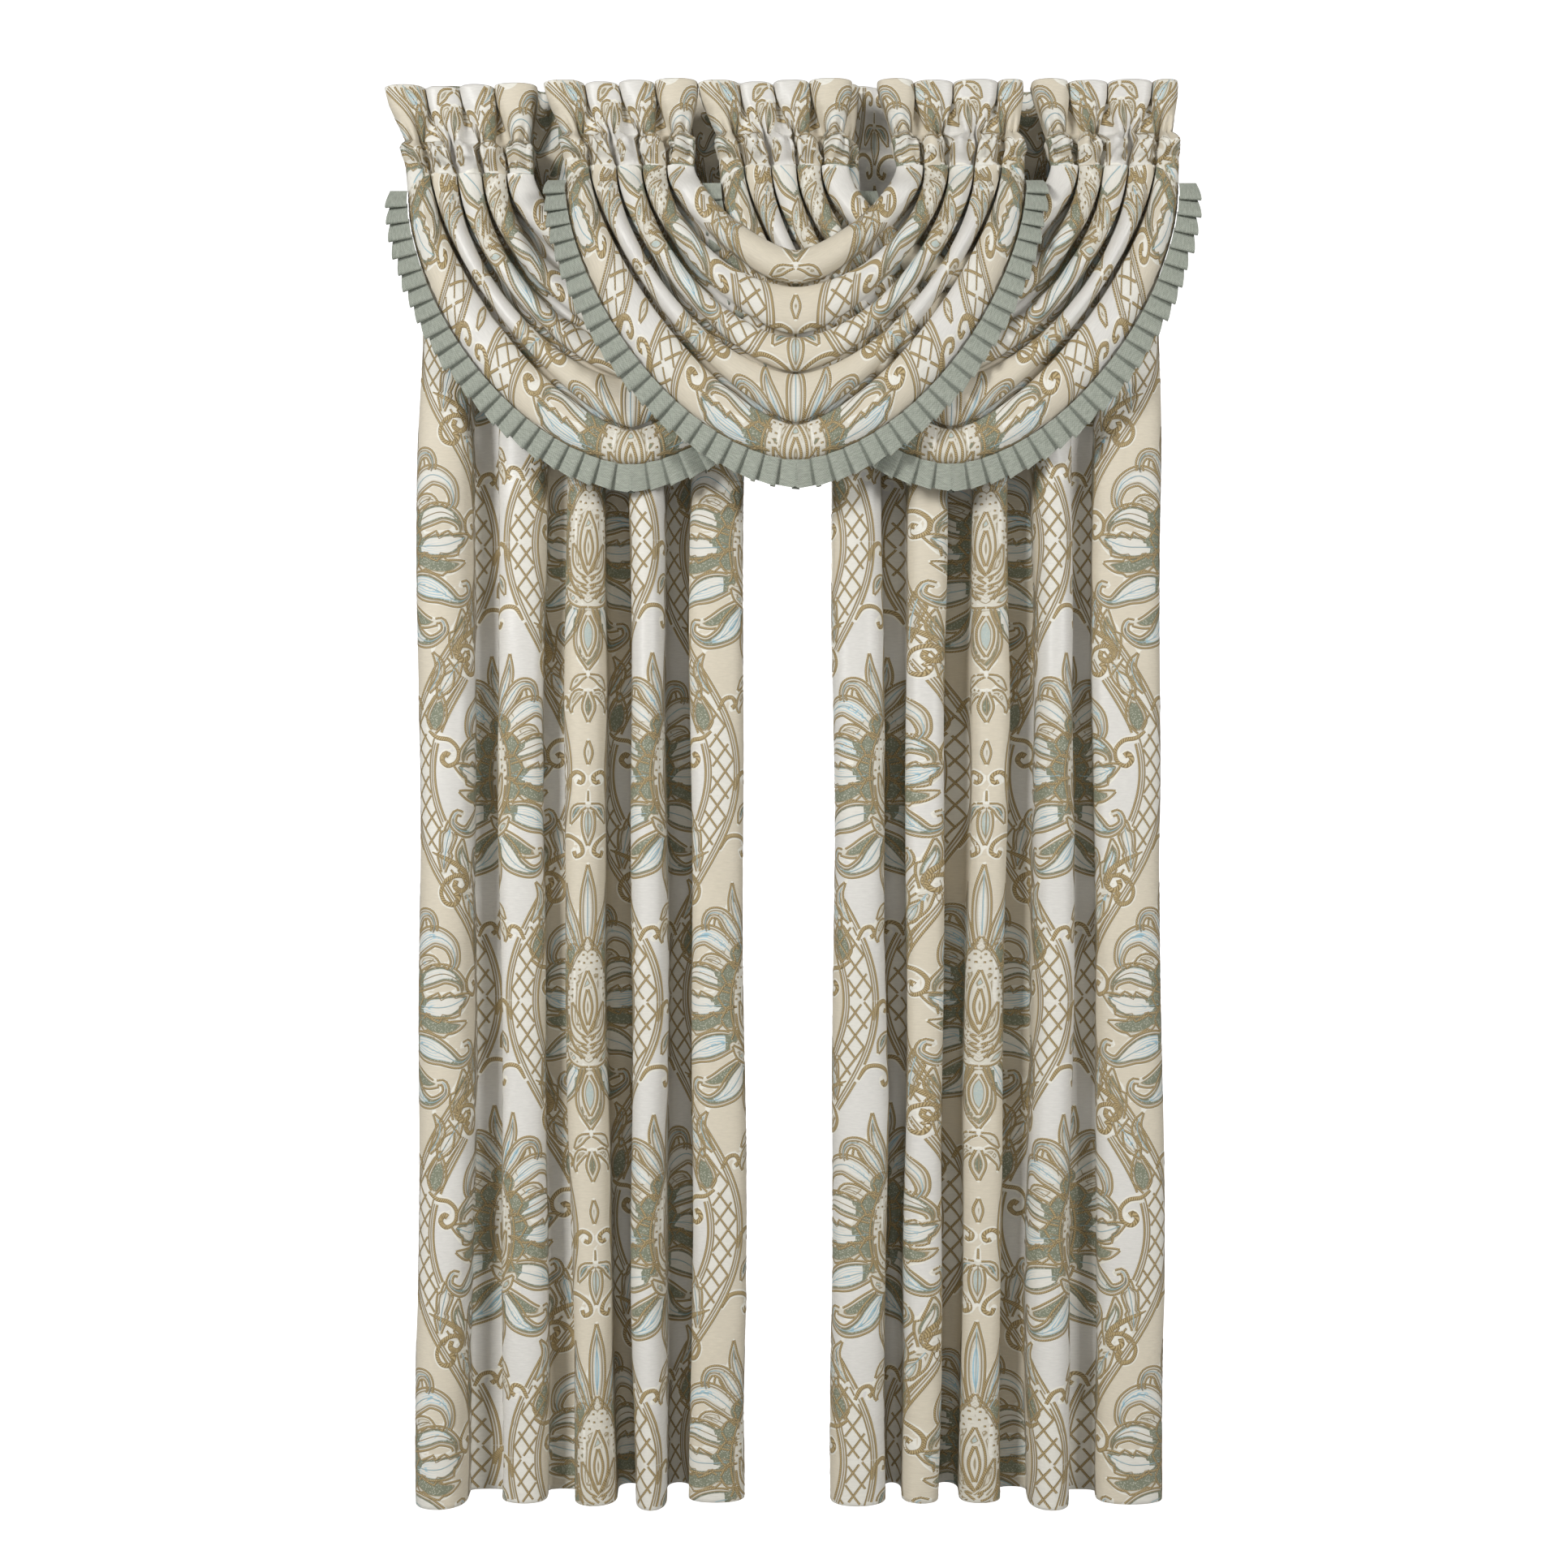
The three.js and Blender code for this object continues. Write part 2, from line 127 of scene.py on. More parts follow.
HEADERS = {
    "left": dict(direction=-1, outer_end=374, pleats=[
        dict(width=61, reach=13, rise=-6), dict(width=51, reach=9, rise=-8),
        dict(width=53, reach=12, rise=-5), dict(width=64, reach=14, rise=-2),
    ]),
    "right": dict(direction=1, outer_end=338, pleats=[
        dict(width=38, reach=11, rise=-2), dict(width=66, reach=13, rise=-4),
        dict(width=59, reach=9, rise=-3), dict(width=54, reach=13, rise=-2),
    ]),
}
print("panels:", len(PANELS), " valances:", len(VALANCES))

# %% [markdown]
# ## Stage, camera and light
# A pale floor and a white backdrop keep attention on the cloth. The folds read by their shade:
# two soft boxes stand to the left and right of the camera, so that their light meets the round
# fronts and stays out of the narrow recesses. A small one in front and a weak even light fill
# what is left.

# %% Floor and backdrop
def add_material(name):
    """A new material, with its node tree."""
    material = bpy.data.materials.new(name)
    material.use_nodes = True
    return material, material.node_tree


def stage_plane(name, corners, colour):
    """A plane that the camera sees as pure white, while the cloth gets a grey plane's light."""
    mesh = bpy.data.meshes.new(name)
    mesh.from_pydata(corners, [], [(0, 1, 2, 3)])
    plane = bpy.data.objects.new(name, mesh)
    bpy.context.collection.objects.link(plane)
    material, tree = add_material(name)
    shader = tree.nodes["Principled BSDF"]
    shader.inputs["Base Color"].default_value = (*colour, 1)
    shader.inputs["Roughness"].default_value = 0.9
    shader.inputs["Specular IOR Level"].default_value = 0.1
    shader.inputs["Emission Color"].default_value = (1, 1, 1, 1)
    seen = tree.nodes.new("ShaderNodeLightPath").outputs["Is Camera Ray"]
    tree.links.new(seen, shader.inputs["Emission Strength"])
    mesh.materials.append(material)
    return plane


FLOOR_Z = -PANEL_LENGTH - 12 * MM
SIDE, FLOOR_BACK, BACKDROP_Y, BACKDROP_TOP = 9, 6, 4.5, 6
STAGE_GREY = (0.5, 0.5, 0.5)
stage_plane("floor", [(-SIDE, -SIDE, FLOOR_Z), (SIDE, -SIDE, FLOOR_Z),
                      (SIDE, FLOOR_BACK, FLOOR_Z), (-SIDE, FLOOR_BACK, FLOOR_Z)], STAGE_GREY)
stage_plane("backdrop", [(-SIDE, BACKDROP_Y, FLOOR_Z), (SIDE, BACKDROP_Y, FLOOR_Z),
                         (SIDE, BACKDROP_Y, BACKDROP_TOP), (-SIDE, BACKDROP_Y, BACKDROP_TOP)],
            STAGE_GREY)
print("floor at", round(FLOOR_Z, 3), "m")

# %% Camera: level with the middle of the drop, straight at the panels
CAMERA_PLACE = (-0.011, -2.442, -1.057)
camera_data = bpy.data.cameras.new("camera")
camera_data.sensor_width = 36
camera_data.lens = 36.84
camera = bpy.data.objects.new("camera", camera_data)
camera.location = CAMERA_PLACE
camera.rotation_euler = (math.radians(90), 0, 0)
bpy.context.collection.objects.link(camera)
bpy.context.scene.camera = camera

# %% Lights
def soft_box(name, place, size, power, aim=(0, 0, -1.5)):
    """A square area light that faces a point."""
    data = bpy.data.lights.new(name, "AREA")
    data.shape = "RECTANGLE"
    data.size, data.size_y = size
    data.energy = power
    lamp = bpy.data.objects.new(name, data)
    lamp.location = place
    lamp.rotation_euler = (Vector(aim) - Vector(place)).to_track_quat("-Z", "Y").to_euler()
    bpy.context.collection.objects.link(lamp)


soft_box("key", (-3.4, -3.9, 0.7), (1.2, 1.6), 196)
soft_box("second", (3.6, -3.7, 0.5), (1.2, 1.6), 124)
soft_box("front", (0.0, -4.6, -2.0), (1.2, 1.2), 16)
# A fourth box stands behind, so that the cloth's reverse can be looked at too.
soft_box("behind", (-1.4, 4.2, 0.4), (1.2, 1.2), 110)
world = bpy.data.worlds.new("studio")
bpy.context.scene.world = world
world.use_nodes = True
even_light = world.node_tree.nodes["Background"]
even_light.inputs["Color"].default_value = (1, 0.94, 0.84, 1)
even_light.inputs["Strength"].default_value = 0.11
bpy.context.scene.view_settings.view_transform = "Standard"

# %% [markdown]
# ## The damask, drawn as flat shapes
# A damask repeats one palmette in a net of ogee bands, each column half a repeat below the last.
# Its two grounds change from column to column, silver satin and champagne rib. The figure could
# be painted in shader nodes alone, but curled leaves with cord outlines need long chains of them.
# Here each leaf is a spine with a half width along it, in a short table of its own. The same
# spines later give the fills, as fields stored on the cloth's points, and the raised gold cords,
# as narrow strips that are laid on the cloth.

# %% Repeat, band and cord sizes
REPEAT_HEIGHT = 686 * MM
REPEAT_WIDTH = 490 * MM
BAND_WIDTH = 52 * MM
BAND_SWING = 70 * MM
CORD_WIDTH = 3.3 * MM
FINE_CORD_WIDTH = 1.6 * MM
FINE_CORD_INSET = 4.4 * MM


def band_centre(y):
    """How far the ogee band's middle stands from a motif's axis, at a height from its core."""
    return REPEAT_WIDTH / 4 + BAND_SWING * np.cos(2 * np.pi * y / REPEAT_HEIGHT)


def on_band(height, aside=0):
    """A point on the band's middle, in millimetres, moved aside by some more."""
    return float(band_centre(height * MM) / MM) + aside, height


# %% Smooth lines
CURVE_STEPS = 16


def smooth_line(points, step):
    """Points about a step apart on the Catmull-Rom curve through the given ones."""
    knots = np.array(points, float)
    knots = np.vstack([2 * knots[0] - knots[1], knots, 2 * knots[-1] - knots[-2]])
    t = np.linspace(0, 1, CURVE_STEPS, endpoint=False)[:, None]
    spans = []
    for a, b, c, d in zip(knots, knots[1:], knots[2:], knots[3:]):
        spans.append(0.5 * (2 * b + (c - a) * t + (2 * a - 5 * b + 4 * c - d) * t ** 2
                            + (3 * b - a - 3 * c + d) * t ** 3))
    fine = np.vstack([*spans, knots[-2]])
    reach = np.concatenate([[0], np.cumsum(np.linalg.norm(np.diff(fine, axis=0), axis=1))])
    wanted = np.linspace(0, reach[-1], max(3, round(reach[-1] / step) + 1))
    return np.stack([np.interp(wanted, reach, fine[:, k]) for k in range(fine.shape[1])], 1)


def left_of(line):
    """The unit normal to the left of a flat line, at each of its points."""
    run = np.gradient(line, axis=0)
    run /= np.maximum(np.linalg.norm(run, axis=1), 1e-9)[:, None]
    return np.stack([-run[:, 1], run[:, 0]], 1)


# %% A leaf, petal or cord
LEAST_HALF_WIDTH = 0.2
TOOTH_ROOT, TOOTH_RISE = 0.74, 0.46


class Shape:
    """A spine, its half width along it, the threads that fill it and those of its heart."""

    def __init__(self, spine, widths, fill, heart=None, teeth=0, inner=False,
                 step=5, mirrored=True):
        self.fill, self.heart, self.teeth = fill, heart, teeth
        self.inner, self.mirrored = inner, mirrored
        self.spine = smooth_line(spine, step) * MM
        knots = smooth_line(list(enumerate(widths)), 0.05)
        share = np.linspace(0, len(widths) - 1, len(self.spine))
        half = np.interp(share, knots[:, 0], knots[:, 1])
        self.half = np.maximum(half, LEAST_HALF_WIDTH) * MM

    def placed(self, flip=1, shift=(0, 0)):
        """A copy, mirrored where flip is -1, moved by a shift."""
        copy = Shape.__new__(Shape)
        copy.__dict__.update(self.__dict__)
        copy.spine = self.spine * (flip, 1) + shift
        return copy

    def depth(self, points):
        """How far points lie inside the shape, negative outside it."""
        best = np.full(len(points), -1.0)
        for a, b, wide_a, wide_b in zip(self.spine, self.spine[1:], self.half, self.half[1:]):
            run = b - a
            t = np.clip((points - a) @ run / max(run @ run, 1e-12), 0, 1)
            gap = np.linalg.norm(points - a - t[:, None] * run, axis=1)
            best = np.maximum(best, wide_a + (wide_b - wide_a) * t - gap)
        return best

    def near(self, points, margin):
        """Which points lie in the shape's box, grown by a margin."""
        low, high = self.spine.min(0) - margin, self.spine.max(0) + margin
        return np.nonzero(((points > low) & (points < high)).all(1))[0]

    def outline(self, inset=0.0):
        """The two sides of the outline, moved inwards by an inset."""
        teeth = 1.0
        if self.teeth:
            teeth = TOOTH_ROOT + TOOTH_RISE * (np.linspace(0, self.teeth, len(self.half)) % 1)
        half = np.maximum(self.half * teeth - inset, 0)
        sides = [self.spine + left_of(self.spine) * (side * half)[:, None] for side in (1, -1)]
        keep = half > 0 if inset else np.ones(len(half), bool)
        return [side[keep] for side in sides if keep.sum() > 2]


# %% The motif, from back to front, in millimetres from the palmette's core
def motif():
    """Half of the motif, with what stands on its axis. Mirrored shapes have a twin."""
    axis = dict(mirrored=False)
    curl = dict(inner=True, step=4)
    line = dict(step=3)
    band = [
        Shape([on_band(-236), on_band(-214), on_band(-190), on_band(-166)], [1, 10, 13, 8, 1],
              "ivory", "aqua"),
        Shape([on_band(110), on_band(128), on_band(150)], [1, 11, 9, 1], "aqua", "ivory"),
        Shape([on_band(-120, 16), on_band(-134, -6), (118, -150), (112, -166), (122, -178),
               (134, -172), (132, -162)], [1, 3, 4, 4, 4, 4, 4], "gold", **line),
    ]
    sprouts = [
        Shape([(158, 122), (159, 98), (164, 76), (166, 56)], [1, 8, 14, 14, 1], "sage", inner=True),
        Shape([(176, 60), (162, 50), (143, 46), (131, 32), (133, 15), (146, 8), (155, 17),
               (150, 26), (144, 23)], [2, 3, 3.2, 3, 2.8, 3, 3.4, 4, 4.4], "gold", **line),
        Shape([(136, 180), (118, 188), (99, 182), (90, 165), (96, 149), (110, 145), (117, 155),
               (111, 163)], [2, 3.4, 3.4, 3, 3, 3.4, 4, 4.6], "gold", **line),
        Shape([(152, -150), (150, -124), (144, -92), (134, -60)], [4, 10, 12, 9, 1],
              "ivory", "aqua", teeth=3, inner=True),
        Shape([(110, -176), (114, -150), (124, -124), (123, -100)], [4, 11, 11, 1],
              "sage", "ivory", teeth=2),
        Shape([(70, -226), (84, -204), (88, -184), (78, -166)], [2, 7, 7, 1], "ivory", "aqua"),
        Shape([(58, -252), (50, -236), (38, -232), (32, -242), (38, -248)],
              [2.4, 3, 3, 3.2, 3.6], "gold", **line),
        Shape([(58, 226), (46, 244), (28, 246), (12, 236), (8, 222), (18, 216), (22, 224)],
              [2, 3, 3.2, 3, 3, 3.2, 3.6], "gold", **line),
    ]
    chain = [
        Shape([(0, 294), (0, 272), (0, 232)], [3, 9, 8, 1], "aqua", "ivory", **axis),
        Shape([(3, 292), (17, 286), (28, 264)], [3, 8, 1], "sage", "aqua"),
        Shape([(0, 298), (0, 314)], [1.6, 1.2], "gold", **axis, **line),
        Shape([(0, -297), (0, -314), (0, -333)], [1, 5.5, 1], "ivory", **axis),
        Shape([(34, -372), (30, -354), (18, -344), (7, -350), (9, -360), (16, -358)],
              [2, 3.4, 3.6, 3, 3, 3.4], "gold", **line),
        Shape([(2, -226), (16, -228), (27, -246), (25, -256)], [2, 7, 5, 1], "ivory"),
        Shape([(0, -224), (0, -246), (0, -270)], [3, 9, 1], "sage", "ivory", **axis),
        Shape([(2, -200), (14, -205), (28, -222)], [2, 6, 1], "aqua"),
    ]
    feathers = [
        Shape([(26, 60), (44, 84), (60, 108), (62, 128)], [4, 9, 7, 1], "sage"),
        Shape([(10, 74), (24, 112), (36, 146), (38, 176)], [5, 10, 9, 1], "ivory", "aqua",
              inner=True),
        Shape([(0, 78), (0, 122), (0, 166), (0, 204)], [6, 11, 10, 1], "ivory", "aqua",
              inner=True, **axis),
    ]
    petals = [
        Shape([(16, 72), (36, 104), (54, 128), (72, 130), (80, 114), (74, 98), (67, 104)],
              [5, 9, 11, 9, 7, 5, 3.5], "ivory", "aqua", **curl),
        Shape([(26, 54), (50, 82), (78, 98), (104, 86), (112, 60), (101, 44), (91, 52)],
              [7, 13, 16, 14, 10, 6, 4], "ivory", "aqua", **curl),
        Shape([(34, 38), (58, 56), (76, 62), (90, 54)], [6, 10, 9, 1], "ivory", "sage"),
        Shape([(38, 18), (66, 34), (96, 42), (120, 28), (122, 8), (109, 1), (101, 10)],
              [8, 14, 16, 13, 8, 5, 3.5], "sage", "ivory", **curl),
    ]
    leaves = [
        Shape([(44, -22), (76, -34), (104, -38), (130, -30)], [6, 13, 12, 1], "sage", teeth=3),
        Shape([(42, -6), (72, -8), (102, -6), (138, 10)], [9, 19, 18, 1], "sage", "aqua", teeth=4,
              inner=True),
        Shape([(20, -88), (46, -108), (66, -120), (92, -124)], [6, 11, 10, 1], "sage"),
        Shape([(26, -62), (56, -64), (90, -76), (118, -90), (138, -78), (134, -62), (124, -64)],
              [7, 18, 21, 15, 8, 5, 3.5], "sage", "aqua", **curl),
        Shape([(10, -84), (26, -112), (46, -138), (74, -150), (96, -136), (94, -120), (84, -120)],
              [7, 15, 18, 13, 8, 5, 3.5], "sage", "aqua", **curl),
        Shape([(0, -92), (0, -122), (0, -154), (0, -192)], [9, 19, 20, 1], "sage",
              inner=True, **axis),
        Shape([(0, -110), (0, -132), (0, -150), (0, -172)], [2, 10, 9, 1], "aqua", **axis),
    ]
    scallops = [
        Shape([(x * 0.5, y * 0.9), (x * 0.8, y), (x, y)], [15, 18, 16, 1], "sage", step=3)
        for x, y in ((36, 70), (54, 40), (60, 6), (55, -28), (40, -60))
    ]
    dots = [
        Shape([(x, y), (x, y + 3)], [1.7, 1.7], "gold", step=1.5)
        for x, y in ((6, 68), (13, 58), (5, 56), (21, 46), (12, 46), (28, 32), (20, 32), (31, 16),
                     (24, 16), (31, 0))
    ]
    core = [
        *scallops,
        Shape([(0, -92), (12, -90), (26, -82), (38, -68)], [6, 8, 7, 1], "aqua", step=3),
        Shape([(0, -86), (0, -52), (0, -10), (0, 30), (0, 64), (0, 96)], [10, 32, 40, 37, 24, 1],
              "ivory", inner=True, **axis),
        *dots,
        Shape([(1, -76), (15, -66), (30, -44)], [2, 5, 1], "ivory"),
        Shape([(1, -64), (16, -52), (31, -20)], [2, 7, 1], "aqua"),
        Shape([(1, -52), (14, -38), (25, -2)], [2, 7, 1], "ivory"),
        Shape([(0, -48), (0, -16), (0, 14), (0, 46)], [1, 12, 11, 1], "aqua", **axis),
        Shape([(0, -36), (0, -12), (0, 18)], [1, 6, 1], "ivory", **axis),
    ]
    return [*band, *sprouts, *chain, *feathers, *petals, *leaves, *core]


def whole_motif():
    """Every shape of one motif, twins included, from back to front."""
    shapes = []
    for shape in motif():
        shapes.append(shape)
        if shape.mirrored:
            shapes.append(shape.placed(flip=-1))
    return shapes


MOTIF = whole_motif()
print("shapes in a motif:", len(MOTIF))

# %% [markdown]
# ## Fields of the figure
# A field holds how deep each point lies inside the leaves of one thread colour. Its zero line is
# the leaf's edge, and it stays sharp between the cloth's points, as the contour of a height map
# does. The fields are worked out once on a grid over half a repeat, and every cloth reads them.

# %% Fields on a grid from a silver axis to the next champagne one
FIELD_STEP = 2 * MM
FAR = 0.05
THREADS = ("ivory", "sage", "aqua")
HEART_INSET = 7.5 * MM
NEAR_A_SHAPE = 20 * MM


def build_fields():
    """The depth of each grid point in the whole figure, and in each colour of thread."""
    across = np.arange(0, REPEAT_WIDTH / 2 + FIELD_STEP, FIELD_STEP)
    up = np.arange(-REPEAT_HEIGHT / 2, REPEAT_HEIGHT / 2 + FIELD_STEP, FIELD_STEP)
    grid = np.stack(np.meshgrid(across, up), -1)
    points = grid.reshape(-1, 2)
    fields = {name: np.full(len(points), -FAR) for name in ("figure", "heart", *THREADS)}
    places = [(0, k * REPEAT_HEIGHT) for k in (-1, 0, 1)]
    places += [(REPEAT_WIDTH / 2, (k + 0.5) * REPEAT_HEIGHT) for k in (-1, 0)]
    for shift in places:
        for shape in MOTIF:
            shape = shape.placed(shift=shift)
            near = shape.near(points, NEAR_A_SHAPE)
            if not len(near):
                continue
            depth = shape.depth(points[near])
            fields["figure"][near] = np.maximum(fields["figure"][near], depth)
            for name in THREADS:
                old = fields[name][near]
                fields[name][near] = (np.maximum(old, depth) if name == shape.fill
                                      else np.minimum(old, -depth))
            heart = depth - HEART_INSET if shape.heart else np.full(len(near), -FAR)
            fields["heart"][near] = np.where(depth > 0, heart, fields["heart"][near])
    shape = grid.shape[:2]
    return {name: values.reshape(shape) for name, values in fields.items()}


FIELDS = build_fields()
print("field grid:", FIELDS["figure"].shape)

# %% Reading the fields
def fold_into_repeat(pattern):
    """Pattern coordinates brought into the half repeat that the fields cover."""
    x = np.abs((pattern[..., 0] + REPEAT_WIDTH / 2) % REPEAT_WIDTH - REPEAT_WIDTH / 2)
    y = (pattern[..., 1] + REPEAT_HEIGHT / 2) % REPEAT_HEIGHT - REPEAT_HEIGHT / 2
    return x, y


def read_field(values, pattern):
    """One field at pattern coordinates, interpolated between the grid's points."""
    x, y = fold_into_repeat(pattern)
    column = np.clip(x / FIELD_STEP, 0, values.shape[1] - 1.001)
    row = np.clip((y + REPEAT_HEIGHT / 2) / FIELD_STEP, 0, values.shape[0] - 1.001)
    c, r = column.astype(int), row.astype(int)
    s, t = column - c, row - r
    return ((values[r, c] * (1 - s) + values[r, c + 1] * s) * (1 - t)
            + (values[r + 1, c] * (1 - s) + values[r + 1, c + 1] * s) * t)


def ogee_field(pattern):
    """The distance from the band's middle line: positive in silver cells, negative in champagne."""
    x, y = fold_into_repeat(pattern)
    slope = -BAND_SWING * 2 * np.pi / REPEAT_HEIGHT * np.sin(2 * np.pi * y / REPEAT_HEIGHT)
    return (band_centre(y) - x) / np.sqrt(1 + slope ** 2)

# %% [markdown]
# ## Sheets
# Cloth is made here as a grid of points that a formula places, with the flat coordinates of its
# print beside them. A simulation would crease it more freely, but the folds have to stay on the
# solids, and a formula keeps every ridge where the maker dressed it.

# %% A sheet from a grid of places
def smooth01(value):
    """A share from 0 to 1, eased at both ends."""
    value = np.clip(value, 0, 1)
    return value * value * (3 - 2 * value)


def grid_faces(rows, columns):
    """The quads of a grid, facing the room when rows go up and columns go right."""
    first = (np.arange(rows - 1)[:, None] * columns + np.arange(columns - 1)).ravel()
    return np.stack([first, first + 1, first + columns + 1, first + columns], 1)


def add_mesh(name, points, faces, attributes, coordinates):
    """A smooth mesh object with float attributes and one UV map of flat coordinates."""
    mesh = bpy.data.meshes.new(name)
    mesh.vertices.add(len(points))
    mesh.vertices.foreach_set("co", points.astype(np.float32).ravel())
    mesh.loops.add(faces.size)
    mesh.loops.foreach_set("vertex_index", faces.astype(np.int32).ravel())
    mesh.polygons.add(len(faces))
    mesh.polygons.foreach_set("loop_start", np.arange(0, faces.size, 4, dtype=np.int32))
    mesh.polygons.foreach_set("use_smooth", np.ones(len(faces), bool))
    mesh.update(calc_edges=True)
    mesh.validate()
    layer = mesh.uv_layers.new(name="print")
    layer.data.foreach_set("uv", coordinates[faces.ravel()].astype(np.float32).ravel())
    for label, values in attributes.items():
        attribute = mesh.attributes.new(label, "FLOAT", "POINT")
        attribute.data.foreach_set("value", np.asarray(values, np.float32).ravel())
    piece = bpy.data.objects.new(name, mesh)
    bpy.context.collection.objects.link(piece)
    return piece


def damask_sheet(name, places, pattern):
    """A sheet of damask: its grid of places, and the print's coordinates at each of them."""
    rows, columns = places.shape[:2]
    points, coordinates = places.reshape(-1, 3), pattern.reshape(-1, 2)
    attributes = {label: read_field(values, coordinates) for label, values in FIELDS.items()}
    attributes["ogee"] = ogee_field(coordinates)
    return add_mesh(name, points, grid_faces(rows, columns), attributes, coordinates)


def grid_normals(places):
    """Unit normals of a grid of places, towards the room."""
    across, up = np.gradient(places, axis=1), np.gradient(places, axis=0)
    normals = np.cross(across, up)
    return normals / np.maximum(np.linalg.norm(normals, axis=-1), 1e-12)[..., None]


# %% Soft dents, so that no fold is perfectly even
DENT_TURN_SPREAD = 0.5
DENT_LONG, DENT_SHORT = (0.5, 1.3), (0.12, 0.25)


def soft_dents(pattern, seed, count, length, height):
    """A sum of long shallow dents at random places of a sheet, all of them seeded."""
    draw = np.random.default_rng(seed)
    low, high = pattern.reshape(-1, 2).min(0), pattern.reshape(-1, 2).max(0)
    total = np.zeros(pattern.shape[:2])
    for _ in range(count):
        middle = draw.uniform(low, high)
        turn = draw.normal(math.pi / 2, DENT_TURN_SPREAD)
        long_side, short_side = (length * draw.uniform(*share) for share in (DENT_LONG, DENT_SHORT))
        offset = pattern - middle
        run = offset @ (math.cos(turn), math.sin(turn))
        aside = offset @ (-math.sin(turn), math.cos(turn))
        total += draw.uniform(-1, 1) * np.exp(-(run / long_side) ** 2 - (aside / short_side) ** 2)
    return total * height


# %% [markdown]
# ## Panels
# A hanging panel is one cloth. Seen from above, it runs in rounded fronts with narrower recesses
# between them, and every front wraps a little past its sides, so that its edges hide the recess.
# Towards the top the folds close up into the gathers of the rod pocket, and a ruffle stands
# above it. The cloth then turns over and goes down the back to the lower stitch.

# %% The plan of the folds
FRONT_STEPS = 48
RECESS_STEPS = 32
FOLD_FLATNESS = 0.6


def fold_plan(folds, hem_share):
    """The folds seen from above, finely stepped: x and y, and 1 on a front or -1 in a recess."""
    def bow(angle):
        full = (np.cos(angle) - math.cos(FOLD_WRAP)) / (1 - math.cos(FOLD_WRAP))
        return np.maximum(full, 0) ** FOLD_FLATNESS

    def widths(fold):
        return [(fold[key] + (fold["hem_" + key] - fold[key]) * hem_share) * MM
                for key in ("front", "recess")]

    plan, left = [], 0.0
    for number, fold in enumerate(folds):
        front, recess = widths(fold)
        angle = np.linspace(-FOLD_WRAP, FOLD_WRAP, FRONT_STEPS + 1)[(1 if number else 0):]
        plan.append(np.stack([left + front / 2 * (1 + np.sin(angle)),
                              -fold["reach"] * MM * bow(angle), bow(angle)], 1))
        if number + 1 < len(folds):
            following = widths(folds[number + 1])[0]
            tuck = [width / 2 * (1 - math.sin(FOLD_WRAP)) for width in (front, following)]
            start, end = left + front - tuck[0], left + front + recess + tuck[1]
            angle = np.linspace(-FOLD_WRAP, FOLD_WRAP, RECESS_STEPS + 1)[1:]
            share = 0.5 + np.sin(angle) / (2 * math.sin(FOLD_WRAP))
            plan.append(np.stack([start + (end - start) * share, fold["back"] * MM * bow(angle),
                                  -bow(angle)], 1))
        left += front + recess
    return np.vstack(plan)


def length_along(line):
    """The distance from a line's start to each of its points."""
    return np.concatenate([[0], np.cumsum(np.linalg.norm(np.diff(line, axis=0), axis=1))])


# %% Where the print lies on each panel: columns seen from the room, and the height of one core
CLOTH_STEP = 5.6 * MM
PANEL_CORE_LEVEL = -1038 * MM
PRINT_COLUMNS = {
    "left": [(-444, 0.0), (-307, 0.5), (-190, 1.0)],
    "right": [(155, 0.0), (290, 0.5), (429, 1.0)],
}
ON_A_FRONT = 0.2


def print_across(side, flat, seen):
    """The print's coordinate across a panel, pinned at the columns that show."""
    known = []
    for x, column in PRINT_COLUMNS[side]:
        facing = np.argmin(np.abs(seen[:, 0] - x * MM) + (seen[:, 2] < ON_A_FRONT))
        known.append((flat[facing], column * REPEAT_WIDTH))
    known = np.array(known)
    inner = np.interp(flat, known[:, 0], known[:, 1])
    before = known[0, 1] + (flat - known[0, 0])
    after = known[-1, 1] + (flat - known[-1, 0])
    return np.where(flat < known[0, 0], before, np.where(flat > known[-1, 0], after, inner))


# %% The levels and waves of a panel
FOLD_ROWS, GATHER_ROWS, BACK_ROWS = 320, 44, 14
FOLD_ROWS_TOP, GATHER_ROWS_LOW, TOP_EDGE = -160 * MM, -156 * MM, -1 * MM
OPENING_TOP, OPENING_DROP = -100 * MM, 500 * MM
GATHER_LOW, GATHER_RISE = -300 * MM, 170 * MM
POCKET_WAVE, RUFFLE_WAVE = 4 * MM, 11 * MM
# Each sway: its size in millimetres, and how fast it turns down and across the cloth.
SWAYS = ((2.5, 4.1, 9), (1.5, 9.7, -14))
DEPTH_DRIFT = (0.05, 5.3, 17)
HEM_STITCH, STITCH_REACH, STITCH_DEPTH = 118 * MM, 4 * MM, 0.8 * MM
STITCH_RIPPLE = (0.5, 900)
PANEL_SEEDS = {"left": 11, "right": 12}
PANEL_DENTS = dict(count=70, length=140 * MM, height=1.5 * MM)
# The hem's turning: how far behind the cloth and above the hem, and how much print it takes.
HEM_TURNING = ((3.0, 14, 22), (3.0, 3, 11), (2.2, 0.4, 7), (0.9, -0.4, 3))
TURN_OVER = (0.8 * MM, -1 * MM)
BACK_TOP = -12 * MM
TURN_OVER_PRINT = 2 * MM


def layer_bulge(z):
    """How far the pocket's layers stand off the rod's line at a level."""
    from_rod = np.clip((z - ROD_LEVEL) / (ROD_LEVEL - POCKET_STITCH), -1, 1)
    return POCKET_REACH * np.cos(from_rod * math.pi / 2)


